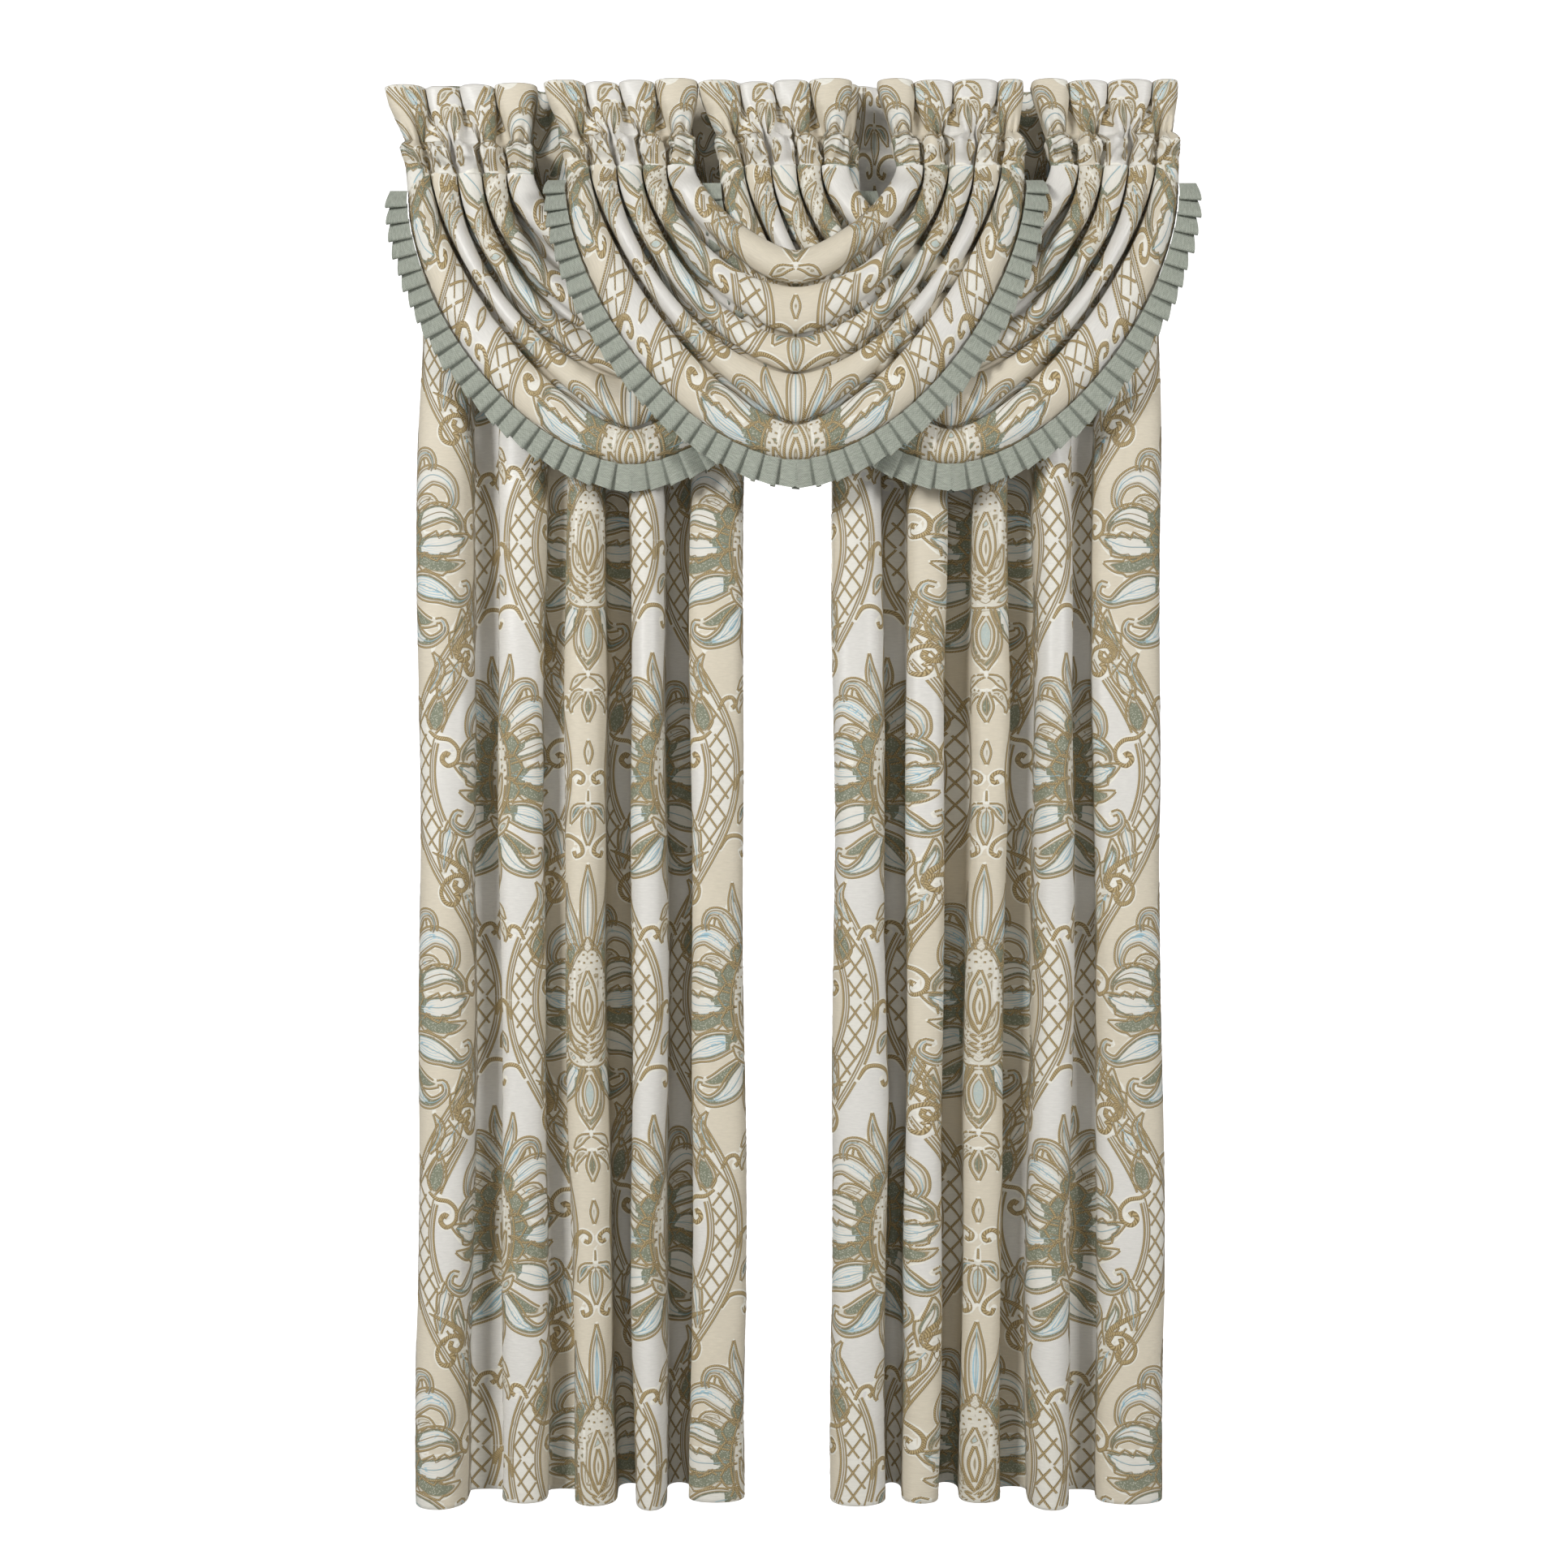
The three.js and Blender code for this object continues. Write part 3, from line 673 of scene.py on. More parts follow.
# %% One panel
def panel_front(side, middle, hem, flat, z):
    """The places of a panel's front: open folds below, gathers and ruffle above."""
    start = PANELS[side]["start"] * MM
    gathered = start + middle[:, 0].max() * flat / flat[-1]
    hem_share = np.clip((MID_LEVEL - z) / (MID_LEVEL + PANEL_LENGTH), 0, 1)
    opening = smooth01((OPENING_TOP - z) / OPENING_DROP)
    sway = sum(size * np.sin(z * down + across * flat) for size, down, across in SWAYS) * MM
    x, y = (middle[:, k] + (hem[:, k] - middle[:, k]) * hem_share for k in (0, 1))
    x = gathered + (start + x - gathered) * opening + sway * opening
    size, down, across = DEPTH_DRIFT
    y = y * opening * (1 + size * np.sin(z * down + across * flat))
    gather = smooth01((z - GATHER_LOW) / GATHER_RISE)
    reach = np.interp(z[:, 0], (GATHER_LOW, POCKET_STITCH, GATHER_STITCH, 0),
                      (0, POCKET_WAVE, POCKET_WAVE, RUFFLE_WAVE))
    wave = -middle[:, 2] * reach[:, None]
    y = y + wave * gather - (layer_bulge(z) + LAYER_GAP) * gather
    front = np.stack([x, y, z], -1)
    size, turns = STITCH_RIPPLE
    pucker = np.exp(-((z + PANEL_LENGTH - HEM_STITCH) / STITCH_REACH) ** 2)
    pucker = pucker * (1 + np.sin(flat * turns) * size)
    bend = soft_dents(np.stack([flat + 0 * z, z], -1), PANEL_SEEDS[side], **PANEL_DENTS)
    relief = (bend - STITCH_DEPTH * pucker) * (1 - gather)
    return front + grid_normals(front) * relief[..., None], gathered


def make_panel(side):
    """One panel's cloth, with its turned hem and the layer behind its pocket."""
    start, folds = PANELS[side]["start"] * MM, PANELS[side]["folds"]
    middle, hem = (fold_plan(folds, share) for share in (0, 1))
    length = length_along(middle[:, :2])
    flat = np.linspace(0, length[-1], round(length[-1] / CLOTH_STEP) + 1)
    middle, hem = (np.stack([np.interp(flat, length, plan[:, k]) for k in range(3)], 1)
                   for plan in (middle, hem))
    front_z = np.concatenate([np.linspace(-PANEL_LENGTH, FOLD_ROWS_TOP, FOLD_ROWS),
                              np.linspace(GATHER_ROWS_LOW, TOP_EDGE, GATHER_ROWS)])
    z = front_z[:, None] + 0 * flat
    front, gathered = panel_front(side, middle, hem, flat, z)
    pattern_across = print_across(side, flat, middle + (start, 0, 0))
    pattern = np.stack([pattern_across + 0 * z, z - PANEL_CORE_LEVEL], -1)

    # The hem turns under at the bottom, and the ruffle turns over at the top.
    under = grid_normals(front)[0]
    turned = np.array([front[0] - under * (back * MM) + (0, 0, up * MM)
                       for back, up, _ in HEM_TURNING])
    back_z = np.concatenate([TURN_OVER, np.linspace(BACK_TOP, POCKET_STITCH, BACK_ROWS)])
    back_wave = np.interp(back_z, (POCKET_STITCH, GATHER_STITCH, 0),
                          (POCKET_WAVE, POCKET_WAVE, RUFFLE_WAVE))
    back_off = np.where(back_z > 0, 0, layer_bulge(back_z) + LAYER_GAP)
    back = np.stack([gathered + 0 * back_z[:, None],
                     -middle[:, 2] * back_wave[:, None] + back_off[:, None],
                     back_z[:, None] + 0 * flat], -1)
    low = [pattern[0] - (0, drop * MM) for _, _, drop in HEM_TURNING]
    high = [pattern[-1] + (0, TURN_OVER_PRINT - level) for level in back_z]
    places = np.concatenate([turned, front, back])
    print_grid = np.concatenate([low, pattern, high])
    piece = damask_sheet(f"cloth_panel_{side}", places, print_grid)
    piece["flat_width"] = float(flat[-1])
    return dict(piece=piece, places=places, pattern=print_grid,
                rows=(len(turned), len(turned) + len(front)))


SHEETS = {}
for side in PANELS:
    SHEETS[f"panel_{side}"] = make_panel(side)
    cloth = SHEETS[f"panel_{side}"]["piece"]
    print(f"panel {side}: flat width", round(cloth["flat_width"], 3), "m,",
          len(cloth.data.polygons), "quads")

# %% [markdown]
# ## Valance bodies
# A waterfall valance's body is one cloth that sags between its two headers. Its gathers run on
# as ropes down both arms, and widen into soft ridges at the middle. Every ridge line is a
# superellipse from arm to arm. Between two ropes the cloth drops into a narrow recess, and at
# the middle each ridge hangs a little over the next one.

# %% Lines across a body
ROPE_LINES = 16
RECESS_LINES = 7
ROPE_WRAP = math.radians(100)
SAG_WRAP = math.radians(128)
HEM_WRAP = math.radians(70)
CREST_PLACE, CREST_SAG = 0.5, 0.12
SAG_POWER = 4
RIDGE_KEYS = ("number", "recess", "turn", "arm", "middle", "last")


def body_lines():
    """The lines of a body from rim to hem: each ridge is a rope, then a recess."""
    rows = []
    for number, ridge in enumerate(RIDGES):
        last = number == len(RIDGES) - 1
        for step in range(ROPE_LINES + 1):
            turn = 2 * step / ROPE_LINES - 1
            rows.append((number, 0, turn, ridge["arm"], ridge["middle"], last))
        for step in range(1, 0 if last else RECESS_LINES):
            following, turn = RIDGES[number + 1], 2 * step / RECESS_LINES - 1
            rows.append((number, 1, turn, following["arm"], following["middle"], 0))
    return dict(zip(RIDGE_KEYS, np.array(rows, float).T))


def along_valleys(place, key):
    """One size of the valleys at places among them."""
    return np.interp(place, np.arange(len(VALLEYS)), [valley[key] for valley in VALLEYS])


def rope_shape(lines, sine, open_share):
    """For each line and turn: its place among the ridges, how full the rope is, and the recess."""
    line = {key: value[:, None] for key, value in lines.items()}
    upper, last, recess = line["turn"] < 0, line["last"] > 0, line["recess"] > 0
    sag = sine ** SAG_POWER
    low = ROPE_WRAP + (SAG_WRAP - ROPE_WRAP) * sag
    low = np.where(last, HEM_WRAP, low)
    wrap = np.where(upper, ROPE_WRAP, low)
    angle = line["turn"] * wrap
    full = (np.cos(angle) - np.cos(wrap)) / (1 - np.cos(wrap))
    front = 1 - open_share
    crest = front * (CREST_PLACE + CREST_SAG * sag)
    share = crest + np.sin(angle) * np.where(upper, crest, front - crest)
    share = np.where(last & (line["turn"] > 0),
                     crest + (1 - crest) * np.sin(angle) / math.sin(HEM_WRAP), share)
    # The recess runs from the end of one rope to the start of the next.
    start = crest + (front - crest) * np.sin(low)
    end = 1 + crest * (1 - math.sin(ROPE_WRAP))
    hollow = (line["turn"] + 1) / 2
    across = start + (end - start) * (0.5 - 0.5 * np.cos(math.pi * hollow))
    share = np.where(recess, across, share)
    full = np.where(recess, 0, full)
    deep = np.where(recess, np.sin(math.pi * hollow), 0)
    return line["number"] + share, full, deep


def body_forward(valance, dropped):
    """How far forward of its rod a body lies at each drop below its seam."""
    forward = np.full(dropped.shape, float(valance["forward"][-1]))
    for above, below, start, end in zip(valance["drops"], valance["drops"][1:],
                                        valance["forward"], valance["forward"][1:]):
        here = (dropped >= above * MM) & (dropped < below * MM)
        share = smooth01((dropped / MM - above) / (below - above))
        forward = np.where(here, start + (end - start) * share, forward)
    return forward * MM


def on_body(valance, place, corner, turn):
    """The smooth surface under the ropes, at places among the ridges and turns round the sag."""
    angle = math.pi * turn[None, :]
    cosine, sine = np.cos(angle), np.clip(np.sin(angle), 0, 1)
    power = along_valleys(place, "power")
    across = -np.sign(cosine) * np.abs(cosine) ** (2 / power)
    corner = SEAM_CORNER_DROP * corner
    dropped = corner + (along_valleys(place, "drop") * MM - corner) * sine ** (2 / power)
    x = valance["centre"] * MM + across * along_valleys(place, "half_span") * MM
    y = valance["rod"] - body_forward(valance, dropped)
    return np.stack([x, y, SEAM_LEVEL - dropped], -1), dropped


# %% Relief of a body: how far its ropes stand proud, and how deep it lies between them
OPEN_LEAST, OPEN_MORE = 0.05, 0.25
SEAM_PROUD = 7 * MM
ARM_GROWTH_DROP = 120 * MM
FADE_LEAD, FADE_DROP = 20 * MM, 60 * MM
# Each depth: what it is on the arms, and how much less at the middle, in millimetres.
BEHIND_DEPTH, HOLLOW_DEPTH = (11, 5), (18, 12)


def body_places(valance, lines, turn):
    """The grid of a body: one row for each line, one column for each turn from left to right."""
    sine = np.clip(np.sin(math.pi * turn[None, :]), 0, 1)
    open_share = OPEN_LEAST + OPEN_MORE * np.sin(2 * math.pi * turn[None, :]) ** 2
    place, full, deep = rope_shape(lines, sine, open_share)
    corner = np.clip(place - len(RIDGES) + 1, 0, 1)
    places, dropped = on_body(valance, place, corner, turn)
    sag = sine ** SAG_POWER
    growth = smooth01(dropped / ARM_GROWTH_DROP)
    arm = SEAM_PROUD + (lines["arm"][:, None] * MM - SEAM_PROUD) * growth
    proud = arm + (lines["middle"][:, None] * MM - arm) * sag
    fade = smooth01((dropped + FADE_LEAD) / FADE_DROP)
    behind, hollow = ((most - less * sag) * MM * fade
                      for most, less in (BEHIND_DEPTH, HOLLOW_DEPTH))
    places[..., 1] += behind - (proud + behind) * full + hollow * deep
    return places, full


# %% The print on a body: it follows the ropes, and hides most between them
BODY_PRINT_STRETCH = 1.2
RIDGE_PRINT = 116 * MM
RIM_PRINT_LEVEL = 193 * MM
ROPE_PRINT_SHARE, RECESS_PRINT_SHARE = 0.88, 0.12
HIDING_POWER = 6


def body_print(valance, places, lines, full, turn):
    """Flat coordinates: along each line from the middle, and across the ridges from the rim."""
    part = np.where(lines["recess"] > 0, RECESS_PRINT_SHARE, ROPE_PRINT_SHARE)
    smooth_place = lines["number"] + (lines["turn"] + 1) / 2 * part
    smooth_place = (smooth_place + ROPE_PRINT_SHARE * lines["recess"])[:, None]
    smooth, _ = on_body(valance, smooth_place, 0 * smooth_place, turn)
    along = np.linalg.norm(np.diff(smooth, axis=1), axis=-1)
    along = np.concatenate([0 * along[:, :1], np.cumsum(along, axis=1)], 1)
    along -= along[:, len(turn) // 2, None]
    steps = np.linalg.norm(np.diff(places, axis=0), axis=-1)
    hidden = (1 - full[1:]) ** HIDING_POWER
    for number in range(len(RIDGES)):
        own = np.flatnonzero(lines["number"][1:] == number)
        total, weight = steps[own].sum(0), hidden[own].sum(0)
        steps[own] = (steps[own] * np.minimum(1, RIDGE_PRINT / total)
                      + np.maximum(0, RIDGE_PRINT - total) * hidden[own] / weight)
    across = np.concatenate([0 * steps[:1], np.cumsum(steps, axis=0)])
    return np.stack([along / BODY_PRINT_STRETCH + REPEAT_WIDTH / 2, RIM_PRINT_LEVEL - across], -1)


# %% The three bodies
BODY_TURNS = 260
# The rim's roll: how far back and down, and how much print it takes, in millimetres.
RIM_ROLL = ((10, 30, 40), (9.5, 18, 28), (8, 8, 17), (5, 1.5, 8))
HEM_BACK, HEM_UP, HEM_PRINT = 1.5 * MM, 1 * MM, 2 * MM
BODY_SEED = 20
BODY_DENTS = dict(count=60, length=50 * MM, height=1.0 * MM)


def make_body(side, valance):
    """One valance's body, from its turned hem to the roll behind its rim."""
    lines, turn = body_lines(), np.linspace(0, 1, BODY_TURNS + 1)
    places, full = body_places(valance, lines, turn)
    pattern = body_print(valance, places, lines, full, turn)
    # Behind the rim the cloth rolls back and hangs down a little way. The hem turns under.
    roll = [places[0] + np.array((0, back, -down)) * MM for back, down, _ in RIM_ROLL]
    roll_print = [pattern[0] + (0, length * MM) for _, _, length in RIM_ROLL]
    turned = places[-1] + (0, HEM_BACK, HEM_UP)
    places = np.concatenate([turned[None], places[::-1], roll[::-1]])
    pattern = np.concatenate([pattern[-1:] - (0, HEM_PRINT), pattern[::-1], roll_print[::-1]])
    dents = soft_dents(pattern, BODY_SEED + len(side), **BODY_DENTS)
    places = places + grid_normals(places) * dents[..., None]
    piece = damask_sheet(f"cloth_valance_{side}_body", places, pattern)
    print(f"valance {side} body:", len(piece.data.polygons), "quads")
    return dict(piece=piece, places=places, pattern=pattern, rows=(1, len(lines["turn"])))


for side, valance in VALANCES.items():
    SHEETS[f"valance_{side}_body"] = make_body(side, valance)

# %% [markdown]
# ## Valance headers
# Above its seam each arm is gathered into a rod pocket, with a ruffle of four rounded pleats
# standing over it. The ropes run up through the pocket, pinch at the gather stitch and open
# into the pleats. At the top the cloth turns over and goes down behind to the lower stitch.

# %% Sizes of a header, and how its parts change from the seam to its top edge
TUCKS, TUCK_DEPTH, TUCK_SHARPNESS = 14, 11 * MM, 0.7
NECK_DEPTH = 14 * MM
PLEAT_WRAP = math.radians(104)
PLEAT_RECESS = 20 * MM
PLEAT_FLATNESS = 0.45
HEADER_OPEN_SHARE = 0.16
HOLLOW_SHARE = 0.35
FIRST_ROPE_SHARE = 0.25
BULGE_SHARPNESS = 0.8
TOP_OVER = 0.6 * MM
PINNED_PLEAT = 1.5
LAYER_ROPE_SHARE = 0.6
HEADER_PRINT_TOP = 493 * MM
HEADER_PRINT_CLOSE = 1.05
HEADER_PRINT_SHIFT = 18 * MM
SEAM_TO_HEADER = -1.5 * MM
SEAM, LOWER_STITCH, GATHERED, TOP = 0, 1, 3, 4
OPEN_TOP = TOP - 0.015
SEAM_ROWS, POCKET_ROWS, RUFFLE_ROWS, BACK_HEADER_ROWS = 4, 17, 22, 30
# Each table: levels, counted as above with the rod at 2, and the values there.
HEADER_TABLES = {
    "spread": ((0, 1, 2, 3, 4), (0, 0.1, 0.25, 0.45, 1)),
    "rope": ((0, 1, 2.6, 3.2, 4), (11, 13, 12, 6, 0)),
    "rope rest": ((0, 1), (0.38, 0.40)),
    "tuck": ((0.3, 1, 2, 3, 3.4), (0, 0.5, 0.8, 1, 0)),
    "neck": ((2, 3, 3.5), (0, 1, 0)),
    "opened": ((2.5, 3, 3.35, 4), (0, 0.5, 0.8, 1)),
    "narrowed": ((2.3, 3, 3.7), (0, 0.36, 0)),
}
HEADER_SEED, PUFF_SEED = 31, 61
HEADER_DENTS = dict(count=40, length=40 * MM, height=0.7 * MM)
HEADER_PUFFS = dict(count=170, length=24 * MM, height=5.6 * MM)


def ruffle_line(header, share):
    """The ruffle's top edge: place from the centre, y and rise; its recess; its pleat's middle."""
    pleats = header["pleats"]
    place = (1 - share) * len(pleats)
    number = np.minimum(place.astype(int), len(pleats) - 1)
    angle = (2 * (place - number) - 1) * PLEAT_WRAP
    bow = (np.cos(angle) - math.cos(PLEAT_WRAP)) / (1 - math.cos(PLEAT_WRAP))
    bow = np.maximum(bow, 0) ** PLEAT_FLATNESS
    width, reach, rise = (np.array([pleat[key] for pleat in pleats])
                          for key in ("width", "reach", "rise"))
    before = np.concatenate([[0], np.cumsum(width)[:-1]])
    within = (np.sin(angle) + 1) / 2
    return (np.stack([header["outer_end"] - before[number] - width[number] * within,
                      -(reach[number] * bow), rise[number] * (1 - 0.5 * bow)], 1) * MM,
            PLEAT_RECESS * (1 - bow),
            (header["outer_end"] - before[number] - width[number] / 2) * MM)


# %% One header
def make_header(side, valance, hand, header):
    """One gathered header: its front, the fold at its top edge, and its back layer."""
    lines = body_lines()
    shape = rope_shape(lines, np.zeros((1, 1)), HEADER_OPEN_SHARE)
    place, full, deep = (grid[:, 0] for grid in shape)
    rope = full - HOLLOW_SHARE * deep
    ridges = len(RIDGES)
    share = np.interp(np.linspace(0, ridges, len(place)), (0, 1, ridges), (0, FIRST_ROPE_SHARE, 1))
    corner = np.maximum(place - ridges + 1, 0)
    top, recess, pleat_middle = ruffle_line(header, share)
    half_span = along_valleys(place, "half_span") * MM
    seam_z = SEAM_LEVEL - SEAM_CORNER_DROP * corner + SEAM_TO_HEADER
    tuck = TUCK_DEPTH * np.abs(np.sin(math.pi * TUCKS * share)) ** TUCK_SHARPNESS
    marks = [seam_z, POCKET_STITCH, ROD_LEVEL, GATHER_STITCH,
             VALANCE_TOP + valance["lift"] * MM + top[:, 2]]

    def row(level, layer):
        """One row at a level, on the front layer (1), the fold (0) or the back layer (-1)."""
        at = {key: np.interp(level, *table) for key, table in HEADER_TABLES.items()}
        low = min(int(level), GATHERED)
        z = marks[low] + (marks[low + 1] - marks[low]) * (level - low)
        pocket = np.clip((level - LOWER_STITCH) / (GATHERED - LOWER_STITCH), 0, 1)
        bulge = POCKET_REACH * math.sin(math.pi * pocket) ** BULGE_SHARPNESS
        wave = at["rope"] * MM * (rope - at["rope rest"])
        pinch = tuck * at["tuck"] - NECK_DEPTH * at["neck"]
        pleats = (top[:, 1] + recess) * at["opened"]
        if layer > 0:
            y = -wave - pinch + pleats - bulge * (LAYER_ROPE_SHARE + (1 - LAYER_ROPE_SHARE) * rope)
        else:
            y = -wave * (1 - LAYER_ROPE_SHARE * bulge / POCKET_REACH) - pinch + pleats + bulge
        y = y - layer * LAYER_GAP * max(0.5, min(level, 1)) * (level < TOP)
        x = (half_span + (top[:, 0] - half_span) * at["spread"]
             + (pleat_middle - top[:, 0]) * at["narrowed"])
        return np.stack([valance["centre"] * MM + header["direction"] * x, valance["rod"] + y,
                         z + 0 * x], 1)

    levels = np.concatenate([np.linspace(SEAM, LOWER_STITCH, SEAM_ROWS),
                             np.linspace(LOWER_STITCH, GATHERED, POCKET_ROWS)[1:],
                             np.linspace(GATHERED, OPEN_TOP, RUFFLE_ROWS)[1:]])
    front = [row(level, 1) for level in levels]
    over = [row(TOP, 0) + (0, 0, TOP_OVER)]
    back = [row(level, -1) for level in np.linspace(OPEN_TOP, LOWER_STITCH, BACK_HEADER_ROWS)]
    places = np.array(front + over + back)

    # The print is pinned at the middle of the second pleat, and at the top edge.
    flat = length_along(np.stack([top[:, 0], top[:, 1] + recess], 1))
    steps = np.arange(len(share))
    second = np.interp(PINNED_PLEAT, (1 - share[::-1]) * len(header["pleats"]), steps[::-1])
    across = (flat - np.interp(second, steps, flat)) / HEADER_PRINT_CLOSE + HEADER_PRINT_SHIFT
    up = length_along(places[:, len(share) // 2])
    up = HEADER_PRINT_TOP + (up - up[len(front)])
    pattern = np.stack(np.broadcast_arrays(across[None], up[:, None]), -1)
    if header["direction"] < 0:
        places, pattern = places[:, ::-1], pattern[:, ::-1]
    seed = len(side) + len(hand)
    dents = soft_dents(pattern, HEADER_SEED + seed, **HEADER_DENTS)
    in_pocket = np.zeros(len(places))
    in_pocket[:len(levels)] = np.sin(math.pi * np.clip(levels / GATHERED, 0, 1))
    puffs = soft_dents(pattern, PUFF_SEED + seed, **HEADER_PUFFS) * in_pocket[:, None]
    places = places + grid_normals(places) * (dents + puffs)[..., None]
    piece = damask_sheet(f"cloth_valance_{side}_header_{hand}", places, pattern)
    piece["flat_width"] = float(flat[-1])
    return dict(piece=piece, places=places, pattern=pattern, rows=(0, len(front)))


for side, valance in VALANCES.items():
    for hand, header in HEADERS.items():
        SHEETS[f"valance_{side}_header_{hand}"] = make_header(side, valance, hand, header)
print("sheets of damask:", len(SHEETS))

# %% [markdown]
# ## Trims
# A sage canvas strip is folded into 46 knife pleats along each valance's hem. Each pleat's face
# rises to its fold, turns back under itself, and the next face starts behind it. The pleats of
# the right half are the mirror image of the left half's.

# %% Knife pleats along the hem
TRIM_PLEATS = 46
TRIM_WIDTH = 40 * MM
TRIM_END_WIDTH = 29 * MM
# One pleat from its start: the share of its width, and how far it stands up in millimetres.
TRIM_SECTION = [(0.00, 0.2), (0.18, 3.2), (0.40, 7.0), (0.65, 10.4), (0.90, 12.8),
                (1.06, 12.6), (1.12, 9.0), (1.02, 3.8), (0.86, 1.2)]
TRIM_STEP = 4.5 * MM
TRIM_ROWS = 9
HEM_POINTS = 1441
TRIM_UNEVEN = 0.8 * MM
TRIM_OVERLAP, TRIM_BEHIND = 1 * MM, 0.6 * MM
LIFT_AT_SEAM = 0.45
TRIM_SEED = 50


def make_trim(side, valance):
    """One valance's pleated strip, from its free edge up to the hem."""
    turn = np.linspace(0, 1, HEM_POINTS)
    line = on_body(valance, np.array([[float(len(RIDGES))]]), 1.0, turn)[0][0]
    reach = length_along(line)
    mirrored = [(1 - at, rise) for at, rise in reversed(TRIM_SECTION)]
    sections = np.array([mirrored if pleat >= TRIM_PLEATS // 2 else TRIM_SECTION
                         for pleat in range(TRIM_PLEATS)])
    share = ((np.arange(TRIM_PLEATS)[:, None] + sections[..., 0]) / TRIM_PLEATS).ravel()
    share = np.clip(share, 0, 1)
    at = share * reach[-1]
    on_hem = np.stack([np.interp(at, reach, line[:, k]) for k in range(3)], 1)
    slope = np.gradient(line, axis=0)
    run = np.stack([np.interp(at, reach, slope[:, k]) for k in (0, 2)], 1)
    run /= np.linalg.norm(run, axis=1)[:, None]
    outwards = np.stack([run[:, 1], 0 * run[:, 0], -run[:, 0]], 1)
    draw = np.random.default_rng(TRIM_SEED + len(side))
    uneven = np.repeat(draw.normal(0, TRIM_UNEVEN, TRIM_PLEATS), len(TRIM_SECTION))
    width = TRIM_END_WIDTH + (TRIM_WIDTH - TRIM_END_WIDTH) * np.sin(math.pi * share) + uneven
    face, lift = sections[..., 0].ravel(), sections[..., 1].ravel() * MM
    width = width + TRIM_STEP * (0.5 - face) * np.sign(share - 0.5)
    rows = []
    for down in np.linspace(0, 1, TRIM_ROWS):
        spread = lift * (LIFT_AT_SEAM + (1 - LIFT_AT_SEAM) * down)
        rows.append(on_hem + outwards * (width * down - TRIM_OVERLAP)[:, None]
                    + np.outer(TRIM_BEHIND - spread, (0, 1, 0)))
    places = np.array(rows)[::-1]
    flat = length_along(places[TRIM_ROWS // 2])
    up = np.linspace(0, TRIM_WIDTH, TRIM_ROWS)
    pattern = np.stack(np.broadcast_arrays(flat[None], up[:, None]), -1)
    piece = add_mesh(f"trim_valance_{side}", places.reshape(-1, 3),
                     grid_faces(*places.shape[:2]), {}, pattern.reshape(-1, 2))
    piece["flat_width"] = float(flat[-1])
    return piece


TRIMS = {f"valance_{side}_trim": make_trim(side, valance) for side, valance in VALANCES.items()}
print("pleats in each trim:", TRIM_PLEATS)

# %% [markdown]
# ## Gold cords
# The damask's outlines are thick gold threads that stand up from the cloth. A bump map would be
# lighter, but its relief vanishes at the edge of a fold. So each outline becomes a narrow strip:
# its two edges are drawn in the print's flat coordinates, and a ray through the flat cloth finds
# the point of the hanging cloth that lies there.

# %% Strips of one motif and one length of band, in the print's coordinates
GOLD, BROWN, AQUA = 0.0, 1.0, 2.0
VEIN_WIDTH = 1.3 * MM
LATTICE_PITCH = 24.5 * MM
LATTICE_RISE = 34.3 * MM
LATTICE_INSET = 8 * MM
LATTICE_WIDTH = 3.2 * MM
# Each border cord: how far in from the band's edge, its width, and its thread.
BORDER_CORDS = ((0, 3.6, GOLD), (4.6, 1.8, BROWN), (8.2, 2.2, GOLD))
COVERED_MARGIN = 5 * MM
BORDER_POINTS, LATTICE_POINTS = 115, 62


def strip(line, half_width, thread):
    """A strip along a line: its left and right edges, and its thread."""
    aside = left_of(line) * np.broadcast_to(half_width, len(line))[:, None]
    return line + aside, line - aside, thread


def uncovered(line, later):
    """Which points of a line no later shape covers."""
    clear = np.ones(len(line), bool)
    for shape in later:
        near = shape.near(line, COVERED_MARGIN)
        if len(near):
            clear[near] &= shape.depth(line[near]) < 0
    return clear


def split_runs(line, keep, least=3):
    """The unbroken runs of a line's kept points."""
    edges = np.flatnonzero(np.diff(np.concatenate([[0], keep.astype(int), [0]])))
    return [line[a:b] for a, b in zip(edges[::2], edges[1::2]) if b - a >= least]


def motif_strips():
    """The cords of one motif: outlines, the fine lines inside them, and veins."""
    strips = []
    for number, shape in enumerate(MOTIF):
        later = MOTIF[number + 1:]
        if shape.fill == "gold":
            strips.append(strip(shape.spine, shape.half, GOLD))
            continue
        for side in shape.outline():
            for run in split_runs(side, uncovered(side, later)):
                strips.append(strip(run, CORD_WIDTH / 2, GOLD))
        if shape.inner:
            for side in shape.outline(FINE_CORD_INSET):
                for run in split_runs(side, uncovered(side, later)):
                    strips.append(strip(run, FINE_CORD_WIDTH / 2, BROWN))
        if shape.heart:
            vein, thread = shape.spine[1:-2], AQUA if shape.heart == "aqua" else BROWN
            for run in split_runs(vein, uncovered(vein, later)):
                strips.append(strip(run, VEIN_WIDTH / 2, thread))
    return strips


